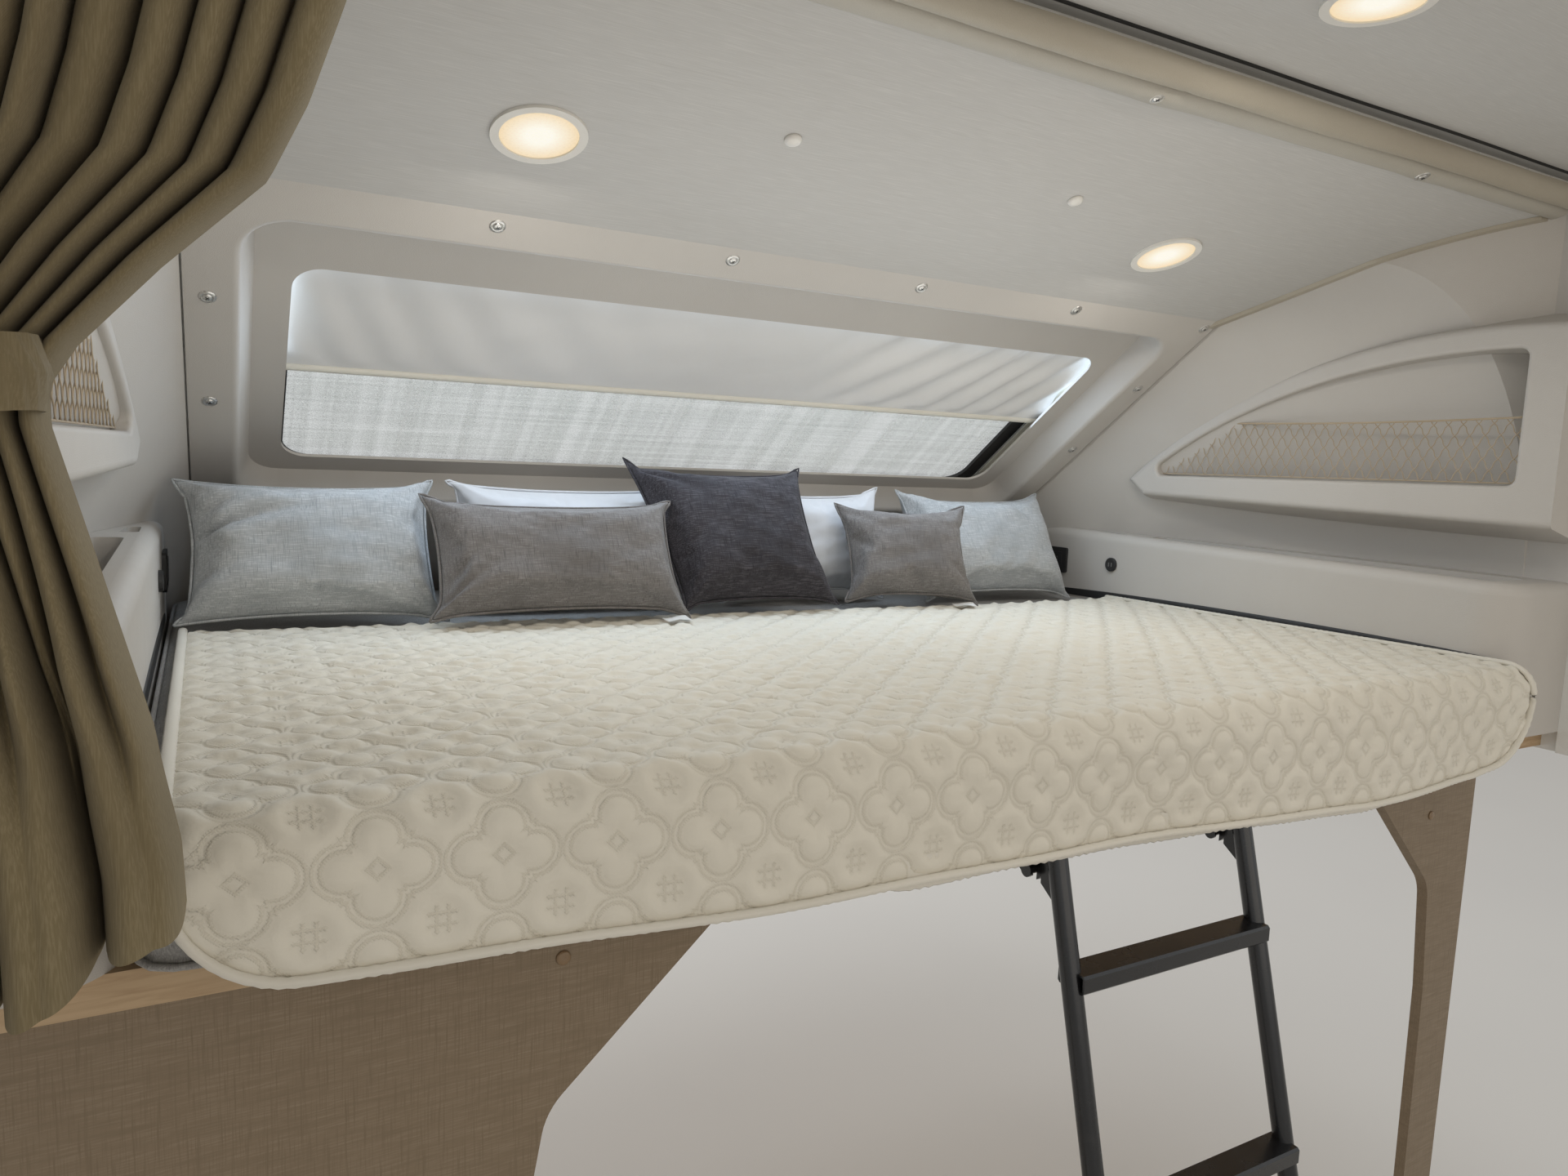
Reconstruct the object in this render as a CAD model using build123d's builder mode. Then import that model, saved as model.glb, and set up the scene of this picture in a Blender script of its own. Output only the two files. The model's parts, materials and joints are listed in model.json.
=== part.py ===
from build123d import *
from math import acos, asin, cos, degrees, radians, sin, sqrt, tan
import os

# Over-cab bunk of a motorhome: millimetres, +X to the vehicle's right, +Y forward, +Z up.
# The origin is the centre of the bunk floor's underside, where it sits on the cab roof.

# Floor and bed
floor_length = 1582
floor_thickness = 40
floor_bolt_spacing_x = 1600
floor_bolt_spacing_y = 1100
floor_bolt_hole = 11
floor_rebate_length = 70
floor_rebate_depth = 6
mattress_width = 2016
mattress_length = 1470
mattress_thickness = 130
mattress_corner = 120
mattress_rear_corner = 35
mattress_overhang = 30
quilt_thickness = 12
quilt_left_margin = 23
quilt_right_margin = 5
quilt_length = 905
quilt_hang = 52
quilt_drop = 150
quilt_fold = 45
quilt_hem_corner = 90

# Room round the bed, as its lining is seen from inside
rake_degrees = 54.23
front_wall_reach = 1494
side_wall_bend = 3517
side_wall_turn = 0.8
taper_length = 1254
ceiling_drop = 0.31
ceiling_start_height = 800
ceiling_start = 80
ceiling_joint = 62
rear_ceiling_rise = 40
flare_radius = 562
flare_reach = 543
flare_centre = 328

# Walls
lining = 12
seam_overlap = 2
seam_gap = 3
ceiling_board = 10
edge_strip_width = 14
edge_strip_height = 7
trim_front = 43
trim_rear = 22
trim_drop = 12
trim_flange = 3
side_wall = 50
outer_side_bend = 5200
front_wall = 120
nose_wall = 50
roof = 60
nose_plan_radius = 120
roof_radius = 50
brow_radius = 170
nose_radius = 90
keel_radius = 40
frame_depth = 300
fit_gap = 0.3

# Window: widths across the vehicle, heights along the raked wall from the bed's level
window_middle = 634
recess_side = 72
recess_low = 329
recess_high = 1014
recess_depth = 58
recess_draft = 20
recess_radius = 70
recess_rim = 12
recess_wall = 6
opening_side = 73
opening_height = 485
opening_radius = 45
shade_space_side = 108
shade_space_low = 285
shade_space_high = 1030
window_skin = 16
aperture_side = 33
aperture_height = 676
aperture_radius = 60
glass_lap = 25
glass_thickness = 6
glass_inset = 1
seal_side = 7
seal_height = 27
seal_inner_radius = 50
seal_thickness = 8

# Shade
shade_depth = 80
shade_roller_level = 1000
shade_roller_radius = 14
shade_roller_end = 75
shade_roller_pin = 6
shade_bar_level = 621
shade_bar_lowest = 396
shade_bar_highest = 886
shade_bar_radius = 7
shade_bar_lap = 25
shade_pin_radius = 5
shade_pin_length = 14
shade_pin_gap = 5
shade_fabric_margin = 4
shade_fabric_thickness = 1.2
track_width = 21
track_wall = 3
track_overrun = 20

# Ledges beside the bed
ledge_gap = 7
ledge_width = 205
ledge_length = 1200
ledge_rear_height = 133
ledge_front_height = 163
ledge_corner = 75
ledge_edge = 22
tray_depth = 55
tray_table = (
    # start and end along the ledge; from its inner edge: near edge, far edge at start and end; corner
    (60, 830, 37, 161, 81, 16),
    (905, 990, 23, 49, 43, 8),
)
outlet_width = 98
outlet_height = 66
outlet_thickness = 6
outlet_from_front = 90
outlet_level = 76
socket_from_front = 290
socket_level = 80
socket_radius = 17
socket_thickness = 5

# Side pockets: measured in the face of the bin, forward from its rear end and up from the bed
pocket_proud = 120
pocket_face_start = 50
pocket_face_turn = -0.0837
pocket_rear = -75
pocket_rear_low = 232
pocket_rear_high = 584
pocket_arch = 416
pocket_arch_high = 533
pocket_front = 843
pocket_front_high = 292
pocket_toe = 800
pocket_toe_low = 258
pocket_toe_radius = 20
mouth_rear = 14
mouth_rear_high = 548
mouth_arch = 430
mouth_arch_high = 490
mouth_front = 800
mouth_low = 304
mouth_radius = 16
pocket_depth = 210
pocket_draft = 14
pocket_edge = 13
pocket_rim = 7
net_depth = 20
net_thickness = 3
net_top = 430

# Cushions
cushion_corner = 24
cushion_crown = 0.62
cushion_lift = 1

# Downlights
light_radius = 61
light_lens_radius = 50
light_hole_radius = 52
light_rim = 4
light_lens = 8
light_spacing = 570
light_position = 420
rear_light_x = 230
rear_light_position = -160

# Bulkhead panels and ladder
bulkhead_position = 40
bulkhead_thickness = 18
bulkhead_foot = -1360
bulkhead_right_side = 180
arch_left_top = 774
arch_left_shoulder = 560
arch_left_shoulder_level = -375
arch_left_foot = 543
arch_left_foot_level = -470
arch_right_top = 340
arch_right_shoulder = 118
arch_right_shoulder_level = -400
arch_right_waist = 96
arch_right_waist_level = -600
arch_right_foot = 80
arch_corner_radius = 70
ladder_middle = 133.5
ladder_width = 345
ladder_lean = 14.6
ladder_top = -157
ladder_top_position = -19.2
rail_radius = 13
rail_wall = 2
rung_first = -320
rung_pitch = 280
rung_count = 4
rung_depth = 44
rung_height = 24
rung_wall = 3
rung_chamfer = 3
hook_pin_position = 12
hook_pin_level = -205
hook_pin_radius = 6
hook_running_gap = 0.05
hook_radius = 14
hook_thickness = 6
bracket_cheek = 4
bracket_gap = 24
bracket_base = 4
bracket_length = 60
bracket_eye = 3
foot_height = 45
foot_wall = 3.5
foot_sole = 15

# Curtain
track_line = -155
track_side_gap = 10
track_finish = 140
track_section_wall = 2
track_section_width = 22
track_section_height = 14
track_slot = 8
curtain_side_gap = 12
curtain_corner = 28
tieback_height = 45
tieback_thickness = 4

# Heights and lengths that the pieces share
bed_top = floor_thickness + mattress_thickness + quilt_thickness
bed_rear = -floor_length / 2 - mattress_overhang
floor_rear = -floor_length / 2
rake = tan(radians(rake_degrees))
slope_per_height = 1 / cos(radians(rake_degrees))
front_lining = lining * slope_per_height
front_total = front_wall * slope_per_height
nose_inside = floor_length / 2 - lining
nose_outside = floor_length / 2 + nose_wall
board_rise = ceiling_board * sqrt(1 + ceiling_drop**2)
rear_ceiling_height = ceiling_start_height + rear_ceiling_rise
inner_roof = bed_top + rear_ceiling_height + ceiling_board
roof_top = inner_roof + roof
frame_rear = bed_rear - frame_depth
joint_y = bed_rear + ceiling_joint
wide = 3000
far_rear = bed_rear - wide
room_rise = roof_top - bed_top + 0.13 * wide

# Widths that the pieces share, from the corner where the side walls meet the raked wall
ledge_inner = mattress_width / 2 + ledge_gap
room_half_width = ledge_inner + ledge_width
wall_turn = radians(side_wall_turn)
corner_reach = taper_length + side_wall_bend * sin(wall_turn)
corner_inset = side_wall_bend * cos(wall_turn) - sqrt(side_wall_bend**2 - corner_reach**2)
corner_half_width = room_half_width - corner_inset
seam_half_width = corner_half_width + seam_overlap
recess_width = 2 * (seam_half_width - recess_side)
recess_height = recess_high - recess_low
recess_middle = (recess_high + recess_low) / 2
opening_width = recess_width - 2 * opening_side
shade_space_width = opening_width + 2 * shade_space_side
aperture_width = opening_width + 2 * aperture_side
seal_inner_width = opening_width - 2 * seal_side
seal_inner_height = aperture_height - 2 * seal_height
shade_roller_width = shade_space_width - 2 * shade_roller_end
shade_bar_width = opening_width + 2 * shade_bar_lap
shade_fabric_width = shade_bar_width - 2 * shade_fabric_margin
pocket_face_x = room_half_width - pocket_proud
left_wall = -room_half_width
bulkhead_right_edge = room_half_width - bulkhead_right_side
curtain_outer = left_wall + curtain_side_gap
track_start = left_wall + track_side_gap


def ceiling_z(y, above=0):
    """Height of the sloping ceiling's underside, or of a line above it."""
    return bed_top + ceiling_start_height - ceiling_drop * (y - bed_rear - ceiling_start) + above


def raked_z(y, outward=0):
    """Height where the raked wall, moved forward by outward, passes over y."""
    return bed_top + (bed_rear + front_wall_reach + outward - y) / rake


def raked_meets_ceiling(outward, above):
    """Corner in side view of the raked wall, moved outward, and the ceiling line, raised."""
    line_start = ceiling_z(0, above)
    reach = bed_rear + front_wall_reach + outward
    y = (reach + rake * (bed_top - line_start)) / (1 - rake * ceiling_drop)
    return (y, line_start - ceiling_drop * y)


def rake_plane(depth):
    """Plane of the raked wall's face, moved out of the room by depth: local Y runs up the slope."""
    foot = (0, bed_rear + front_wall_reach, bed_top)
    face = Plane(origin=foot, x_dir=(-1, 0, 0), z_dir=(0, 1, rake))
    return face.offset(depth)


def raked_room(side, front, corner=0, bend=side_wall_bend):
    """Space inside the raked walls: side and front move its faces outward."""
    radius = bend + side
    turn = radians(side_wall_turn)
    taper_start = bed_rear + front_wall_reach - taper_length
    front_y = bed_rear + front_wall_reach + front
    centre = (room_half_width + side - radius * cos(turn), taper_start - radius * sin(turn))
    swing = degrees(asin((front_y - centre[1]) / radius)) - side_wall_turn
    with BuildSketch(Plane.XY.offset(bed_top)) as plan:
        with BuildLine():
            wall = CenterArc(centre, radius, side_wall_turn, swing)
            Line(wall @ 1, (0, front_y))
            Polyline(wall @ 0, (room_half_width + side, far_rear), (0, far_rear))
            mirror(about=Plane.YZ)
        make_face()
        if corner:
            front_corners = plan.vertices().filter_by(lambda v: v.Y > front_y - 1 and abs(v.X) > 1)
            fillet(front_corners, corner)
    with BuildPart() as room:
        extrude(plan.sketch, amount=room_rise * slope_per_height, dir=(0, -rake, 1))
        extrude(plan.sketch, amount=room_rise / 2 * slope_per_height, dir=(0, rake, -1))
    return room.part


def flared_room(side):
    """Space between the bell-mouthed rear ends of the side walls."""
    radius = flare_radius - side
    centre = (room_half_width + flare_centre, bed_rear + flare_reach)
    swing = degrees(acos((flare_centre - side) / radius))
    with BuildSketch(Plane.XY) as plan:
        with BuildLine():
            wall = CenterArc(centre, radius, 180, swing)
            Line(wall @ 0, (0, bed_rear + flare_reach))
            Polyline(wall @ 1, (room_half_width + side, far_rear), (0, far_rear))
            mirror(about=Plane.YZ)
        make_face()
    with BuildPart() as room:
        extrude(plan.sketch, amount=room_rise)
    return room.part


def whole_room(side, front, corner=0, bend=side_wall_bend):
    with BuildPart() as room:
        add(raked_room(side, front, corner, bend))
        add(flared_room(side))
    return room.part


ceiling_plane = Plane(
    origin=(0, joint_y, ceiling_z(joint_y)), x_dir=(1, 0, 0), z_dir=(0, ceiling_drop, 1)
)
room_face = whole_room(-fit_gap, -fit_gap)
light_run = (light_position - ceiling_joint) * sqrt(1 + ceiling_drop**2)

# Shell: the cap's outside, the space inside it, and the cap itself
outer_rise = roof_top - ceiling_z(joint_y)
brow = raked_meets_ceiling(front_total, outer_rise)
nose_brow_z = raked_z(nose_outside, front_total)
with BuildPart() as cap_outside:
    add(whole_room(side_wall, front_total, nose_plan_radius, outer_side_bend))
    with BuildSketch(Plane.YZ) as side_view:
        with BuildLine():
            Polyline(
                (bed_rear, 0),
                (bed_rear, roof_top),
                (joint_y, roof_top),
                brow,
                (nose_outside, nose_brow_z),
                (nose_outside, 0),
                close=True,
            )
        make_face()
        for corner, radius in (
            ((joint_y, roof_top), roof_radius),
            (brow, brow_radius),
            ((nose_outside, nose_brow_z), nose_radius),
            ((nose_outside, 0), keel_radius),
        ):
            fillet(side_view.vertices().sort_by_distance(corner + (0,))[0], radius)
    extrude(amount=wide, both=True, mode=Mode.INTERSECT)

inner_brow = raked_meets_ceiling(front_lining, board_rise)
with BuildPart() as cap_inside:
    add(whole_room(lining, front_lining))
    with BuildSketch(Plane.YZ):
        with BuildLine():
            Polyline(
                (frame_rear, -floor_thickness),
                (frame_rear, inner_roof),
                (joint_y, inner_roof),
                (joint_y, ceiling_z(joint_y, board_rise)),
                inner_brow,
                (nose_inside + lining, raked_z(nose_inside + lining, front_lining)),
                (nose_inside + lining, -floor_thickness),
                close=True,
            )
        make_face()
    extrude(amount=wide, both=True, mode=Mode.INTERSECT)

skin_depth = front_wall - window_skin
with BuildPart() as nose_cap:
    add(cap_outside.part)
    add(cap_inside.part, mode=Mode.SUBTRACT)
    with BuildSketch(rake_plane(lining)):
        with Locations((0, (shade_space_low + shade_space_high) / 2)):
            Rectangle(shade_space_width, shade_space_high - shade_space_low)
    extrude(amount=skin_depth - lining, mode=Mode.SUBTRACT)
    with BuildSketch(rake_plane(skin_depth)):
        with Locations((0, window_middle)):
            RectangleRounded(aperture_width, aperture_height, aperture_radius)
    extrude(amount=window_skin, mode=Mode.SUBTRACT)
    with BuildSketch(rake_plane(front_wall)):
        with Locations((0, window_middle)):
            RectangleRounded(
                aperture_width + 2 * glass_lap,
                aperture_height + 2 * glass_lap,
                aperture_radius + glass_lap,
            )
    extrude(amount=-(glass_thickness + glass_inset), mode=Mode.SUBTRACT)

with BuildPart() as body_frame:
    with BuildSketch(Plane.XZ.offset(-bed_rear)):
        Rectangle(2 * (room_half_width + side_wall), roof_top, align=(Align.CENTER, Align.MIN))
        Rectangle(
            2 * room_half_width, inner_roof, align=(Align.CENTER, Align.MIN), mode=Mode.SUBTRACT
        )
    extrude(amount=frame_depth)

with BuildPart() as bunk_floor:
    with BuildSketch():
        Rectangle(2 * (room_half_width + lining), floor_length)
    extrude(amount=floor_thickness)
    with BuildSketch():
        with Locations((0, floor_rear)):
            Rectangle(
                2 * (room_half_width + lining), floor_rebate_length, align=(Align.CENTER, Align.MIN)
            )
    extrude(amount=floor_rebate_depth, mode=Mode.SUBTRACT)
    with GridLocations(floor_bolt_spacing_x, floor_bolt_spacing_y, 2, 2):
        Hole(floor_bolt_hole / 2)
    add(cap_inside.part, mode=Mode.INTERSECT)

# Linings
with BuildPart() as front_panel:
    with BuildSketch(Plane.YZ):
        with BuildLine():
            Polyline(
                (nose_inside, floor_thickness),
                (nose_inside, raked_z(nose_inside)),
                raked_meets_ceiling(0, 0),
                raked_meets_ceiling(front_lining, 0),
                (nose_inside + lining, raked_z(nose_inside + lining, front_lining)),
                (nose_inside + lining, floor_thickness),
                close=True,
            )
        make_face()
    extrude(amount=seam_half_width - seam_gap / 2, both=True)
    with BuildSketch(rake_plane(0)):
        with Locations((0, recess_middle)):
            RectangleRounded(
                recess_width + 2 * recess_wall,
                recess_height + 2 * recess_wall,
                recess_radius + recess_wall,
            )
    extrude(amount=recess_depth + recess_wall, taper=recess_draft)
    with BuildSketch(rake_plane(0)):
        with Locations((0, recess_middle)):
            RectangleRounded(recess_width, recess_height, recess_radius)
    extrude(amount=recess_depth, taper=recess_draft, mode=Mode.SUBTRACT)
    with BuildSketch(rake_plane(recess_depth)):
        with Locations((0, window_middle)):
            RectangleRounded(opening_width, opening_height, opening_radius)
    extrude(amount=recess_wall, mode=Mode.SUBTRACT)
    recess_edges = front_panel.edges().filter_by(
        lambda e: abs(rake_plane(0).to_local_coords(e.center()).Z) < 0.1
        and abs(rake_plane(0).to_local_coords(e.center()).X) < recess_width / 2 + 1
        and abs(rake_plane(0).to_local_coords(e.center()).Y - recess_middle) < recess_height / 2 + 1
    )
    fillet(recess_edges, recess_rim)

with BuildPart() as side_lining_right:
    add(cap_inside.part)
    add(whole_room(0, 0), mode=Mode.SUBTRACT)
    split(bisect_by=Plane.YZ.offset(seam_half_width + seam_gap / 2), keep=Keep.TOP)
    split(bisect_by=Plane.XY.offset(floor_thickness), keep=Keep.TOP)
    split(bisect_by=ceiling_plane, keep=Keep.BOTTOM)
    split(bisect_by=Plane.XZ.offset(-bed_rear), keep=Keep.BOTTOM)

with BuildPart() as ceiling_panel:
    add(cap_inside.part)
    split(bisect_by=Plane.XZ.offset(-joint_y), keep=Keep.BOTTOM)
    split(bisect_by=ceiling_plane, keep=Keep.TOP)
    for side in (-1, 1):
        with BuildSketch(ceiling_plane):
            with Locations((side * light_spacing, light_run)):
                Circle(light_hole_radius)
        extrude(amount=ceiling_board, mode=Mode.SUBTRACT)

with BuildPart() as rear_ceiling:
    with BuildSketch(Plane.XY.offset(bed_top + rear_ceiling_height)):
        with Locations((0, frame_rear)):
            Rectangle(
                2 * (room_half_width - fit_gap),
                joint_y - frame_rear - fit_gap,
                align=(Align.CENTER, Align.MIN),
            )
        with Locations((rear_light_x, bed_rear + rear_light_position)):
            Circle(light_hole_radius, mode=Mode.SUBTRACT)
    extrude(amount=ceiling_board)

# Trims and lights of the ceiling
with BuildPart() as ceiling_strips:
    add(room_face)
    add(whole_room(-edge_strip_width, front_total), mode=Mode.SUBTRACT)
    split(bisect_by=Plane.XZ.offset(-(joint_y + trim_front)), keep=Keep.BOTTOM)
    split(bisect_by=ceiling_plane.offset(-fit_gap), keep=Keep.BOTTOM)
    split(bisect_by=ceiling_plane.offset(-edge_strip_height), keep=Keep.TOP)
    split(bisect_by=Plane.XY.offset(bed_top), keep=Keep.TOP)

trim_roof = bed_top + rear_ceiling_height - fit_gap
trim_low = ceiling_z(joint_y) - trim_drop
with BuildPart() as ceiling_trim:
    with BuildSketch(Plane.YZ):
        with BuildLine():
            Polyline(
                (joint_y - fit_gap, trim_roof),
                (joint_y - fit_gap, ceiling_z(joint_y) - fit_gap),
                (joint_y + trim_front, ceiling_z(joint_y + trim_front) - fit_gap),
                (joint_y + trim_front, ceiling_z(joint_y + trim_front) - trim_flange),
                (joint_y + trim_front / 2, ceiling_z(joint_y + trim_front / 2) - trim_flange),
                (joint_y + trim_front / 3, trim_low),
            )
            ThreePointArc(
                (joint_y + trim_front / 3, trim_low),
                (joint_y - trim_rear / 2, trim_low + trim_drop / 3),
                (joint_y - trim_rear, trim_roof),
            )
            Line((joint_y - trim_rear, trim_roof), (joint_y - fit_gap, trim_roof))
        make_face()
    extrude(amount=room_half_width - lining, both=True)
    add(room_face, mode=Mode.INTERSECT)

light_places = [ceiling_plane * Location((side * light_spacing, light_run, 0)) for side in (-1, 1)]
rear_light_level = bed_top + rear_ceiling_height
light_places.append(Location((rear_light_x, bed_rear + rear_light_position, rear_light_level)))
with BuildPart() as downlight_rims:
    for place in light_places:
        with BuildSketch(Plane(place)):
            Circle(light_radius)
            Circle(light_lens_radius, mode=Mode.SUBTRACT)
        extrude(amount=-light_rim)

with BuildPart() as downlight_lenses:
    for place in light_places:
        with BuildSketch(Plane(place).offset(-light_rim / 2)):
            Circle(light_lens_radius - fit_gap)
        extrude(amount=light_lens)

# Window and shade
with BuildPart() as window_glass:
    with BuildSketch(rake_plane(front_wall - glass_inset)):
        with Locations((0, window_middle)):
            RectangleRounded(
                aperture_width + 2 * (glass_lap - fit_gap),
                aperture_height + 2 * (glass_lap - fit_gap),
                aperture_radius + glass_lap,
            )
    extrude(amount=-glass_thickness)

with BuildPart() as window_seal:
    with BuildSketch(rake_plane(front_wall - glass_inset - glass_thickness)):
        with Locations((0, window_middle)):
            RectangleRounded(
                aperture_width - 2 * fit_gap, aperture_height - 2 * fit_gap, aperture_radius
            )
            RectangleRounded(seal_inner_width, seal_inner_height, seal_inner_radius, mode=Mode.SUBTRACT)
    extrude(amount=-seal_thickness)


def across_plane(level):
    """Plane across the vehicle where the shade hangs, at a height along the raked wall."""
    middle = rake_plane(shade_depth).from_local_coords((0, level, 0))
    return Plane(origin=middle, x_dir=(0, 1, 0), z_dir=(1, 0, 0))


with BuildPart() as shade_roller:
    with BuildSketch(across_plane(shade_roller_level)):
        Circle(shade_roller_radius)
    extrude(amount=shade_roller_width / 2, both=True)
    with BuildSketch(across_plane(shade_roller_level)):
        Circle(shade_roller_pin)
    extrude(amount=shade_space_width / 2 - fit_gap, both=True)

with BuildPart() as shade_bar:
    with BuildSketch(across_plane(shade_bar_level)):
        Circle(shade_bar_radius)
    extrude(amount=shade_bar_width / 2, both=True)
    with BuildSketch(across_plane(shade_bar_level)):
        Circle(shade_pin_radius)
    extrude(amount=shade_bar_width / 2 + shade_pin_length, both=True)

fabric_top = shade_roller_level - shade_roller_radius - fit_gap
fabric_low = shade_bar_level + shade_bar_radius + fit_gap
with BuildPart() as shade_fabric:
    with BuildSketch(rake_plane(shade_depth)):
        with Locations((0, (fabric_top + fabric_low) / 2)):
            Rectangle(shade_fabric_width, fabric_top - fabric_low)
    extrude(amount=shade_fabric_thickness / 2, both=True)

pan_back = recess_depth + recess_wall + fit_gap
track_reach = shade_depth - pan_back
track_end = shade_bar_width / 2 + shade_pin_length + shade_pin_gap
track_middle = (shade_bar_lowest + shade_bar_highest) / 2
track_length = shade_bar_highest - shade_bar_lowest + 2 * track_overrun
with BuildPart() as shade_tracks:
    for side in (-1, 1):
        with BuildSketch(rake_plane(shade_depth)):
            with Locations((side * (track_end + track_wall - track_width / 2), track_middle)):
                Rectangle(track_width, track_length)
        extrude(amount=track_reach, both=True)
        with BuildSketch(rake_plane(shade_depth)):
            with Locations((side * (track_end - track_width / 2), track_middle)):
                Rectangle(track_width, track_length)
        extrude(amount=track_reach - track_wall, both=True, mode=Mode.SUBTRACT)

# Ledges with their trays, outlets and sockets
with BuildPart() as ledge_right:
    with BuildSketch(Plane.YZ.offset(ledge_inner)):
        with BuildLine():
            Polyline(
                (bed_rear, floor_thickness),
                (bed_rear, bed_top + ledge_rear_height),
                (bed_rear + ledge_length, bed_top + ledge_front_height),
                (bed_rear + ledge_length, floor_thickness),
                close=True,
            )
        make_face()
    extrude(amount=room_half_width + lining - ledge_inner)
    near_corner = ledge_right.edges().filter_by(Axis.Z).group_by(Axis.Y)[0].sort_by(Axis.X)[0]
    fillet(near_corner, ledge_corner)
    room_edges = ledge_right.edges().filter_by(
        lambda e: e.center().Z > bed_top + ledge_rear_height - 3
        and (e.center().X < ledge_inner + ledge_corner or e.center().Y < bed_rear + 1)
        and e.center().Y < bed_rear + ledge_length - 1
    )
    fillet(room_edges, ledge_edge)
    for start, end, near, far_at_start, far_at_end, corner in tray_table:
        with BuildSketch(Plane.XY.offset(bed_top + ledge_rear_height - tray_depth)) as tray:
            with BuildLine():
                Polyline(
                    (ledge_inner + near, bed_rear + start),
                    (ledge_inner + far_at_start, bed_rear + start),
                    (ledge_inner + far_at_end, bed_rear + end),
                    (ledge_inner + near, bed_rear + end),
                    close=True,
                )
            make_face()
            fillet(tray.vertices(), corner)
        extrude(amount=2 * tray_depth, mode=Mode.SUBTRACT)
    add(room_face, mode=Mode.INTERSECT)

with BuildPart() as outlet_right:
    with BuildSketch(Plane.YZ.offset(ledge_inner)):
        with Locations((bed_rear + ledge_length - outlet_from_front, bed_top + outlet_level)):
            RectangleRounded(outlet_width, outlet_height, outlet_thickness)
    extrude(amount=-outlet_thickness)

with BuildPart() as socket_right:
    with BuildSketch(Plane.YZ.offset(ledge_inner)):
        with Locations((bed_rear + ledge_length - socket_from_front, bed_top + socket_level)):
            Circle(socket_radius)
    extrude(amount=-socket_thickness)

# Side pockets with their nets
pocket_face = Plane(
    origin=(pocket_face_x, bed_rear + pocket_face_start, bed_top),
    x_dir=(pocket_face_turn, 1, 0),
    z_dir=(1, -pocket_face_turn, 0),
)


def pocket_opening(depth):
    """Mouth of the pocket: flat foot, upright rear edge and a long arched top."""
    with BuildSketch(pocket_face.offset(depth)) as mouth:
        with BuildLine():
            Polyline((mouth_front, mouth_low), (mouth_rear, mouth_low), (mouth_rear, mouth_rear_high))
            ThreePointArc(
                (mouth_rear, mouth_rear_high), (mouth_arch, mouth_arch_high), (mouth_front, mouth_low)
            )
        make_face()
        fillet(mouth.vertices(), mouth_radius)
    return mouth.sketch


def on_pocket_face(edge):
    return abs(pocket_face.to_local_coords(edge.center()).Z) < 0.1


mouth = pocket_opening(0)
mouth_line = mouth.faces()[0].outer_wire()
with BuildPart() as pocket_right:
    with BuildSketch(pocket_face) as outline:
        with BuildLine():
            Polyline(
                (pocket_front, pocket_front_high),
                (pocket_toe, pocket_toe_low),
                (pocket_rear, pocket_rear_low),
                (pocket_rear, pocket_rear_high),
            )
            ThreePointArc(
                (pocket_rear, pocket_rear_high),
                (pocket_arch, pocket_arch_high),
                (pocket_front, pocket_front_high),
            )
        make_face()
        fillet(outline.vertices().group_by(Axis.Y)[-1], pocket_toe_radius)
    extrude(amount=pocket_depth, taper=-pocket_draft)
    fillet(pocket_right.edges().filter_by(on_pocket_face), pocket_edge)
    extrude(mouth, amount=pocket_depth, mode=Mode.SUBTRACT)
    mouth_edges = pocket_right.edges().filter_by(on_pocket_face)
    fillet(mouth_edges.filter_by(lambda e: mouth_line.distance_to(e.center()) < 0.1), pocket_rim)
    split(bisect_by=Plane.XZ.offset(-bed_rear), keep=Keep.BOTTOM)
    add(room_face, mode=Mode.INTERSECT)

with BuildPart() as net_right:
    extrude(pocket_opening(net_depth), amount=net_thickness)
    with BuildSketch(pocket_face.offset(net_depth)):
        Rectangle(wide, net_top, align=(Align.CENTER, Align.MIN))
    extrude(amount=net_thickness, mode=Mode.INTERSECT)
    add(room_face, mode=Mode.INTERSECT)

# Bed
with BuildPart() as mattress:
    with BuildSketch(Plane.XY.offset(floor_thickness)) as mattress_plan:
        with Locations((0, bed_rear)):
            Rectangle(mattress_width, mattress_length, align=(Align.CENTER, Align.MIN))
        fillet(mattress_plan.vertices().group_by(Axis.Y)[-1], mattress_corner)
        fillet(mattress_plan.vertices().group_by(Axis.Y)[0], mattress_rear_corner)
    extrude(amount=mattress_thickness)

quilt_cloth = quilt_thickness - fit_gap
quilt_width = mattress_width - quilt_left_margin - quilt_right_margin
quilt_middle = (quilt_left_margin - quilt_right_margin) / 2
with BuildPart() as quilt:
    with BuildSketch(Plane.YZ.offset(quilt_middle)) as quilt_side:
        with BuildLine():
            Polyline(
                (bed_rear - quilt_hang, bed_top - quilt_drop),
                (bed_rear - quilt_hang, bed_top),
                (bed_rear + quilt_length, bed_top),
                (bed_rear + quilt_length, bed_top - quilt_cloth),
                (bed_rear - quilt_hang + quilt_cloth, bed_top - quilt_cloth),
                (bed_rear - quilt_hang + quilt_cloth, bed_top - quilt_drop),
                close=True,
            )
        make_face()
        fold = (bed_rear - quilt_hang, bed_top, 0)
        fillet(quilt_side.vertices().sort_by_distance(fold)[0], quilt_fold)
        inner_fold = (bed_rear - quilt_hang + quilt_cloth, bed_top - quilt_cloth, 0)
        fillet(quilt_side.vertices().sort_by_distance(inner_fold)[0], quilt_fold - quilt_cloth)
    extrude(amount=quilt_width / 2, both=True)
    hem_corners = quilt.edges().filter_by(Axis.Y).group_by(Axis.Z)[0]
    fillet(hem_corners, quilt_hem_corner)

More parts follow.
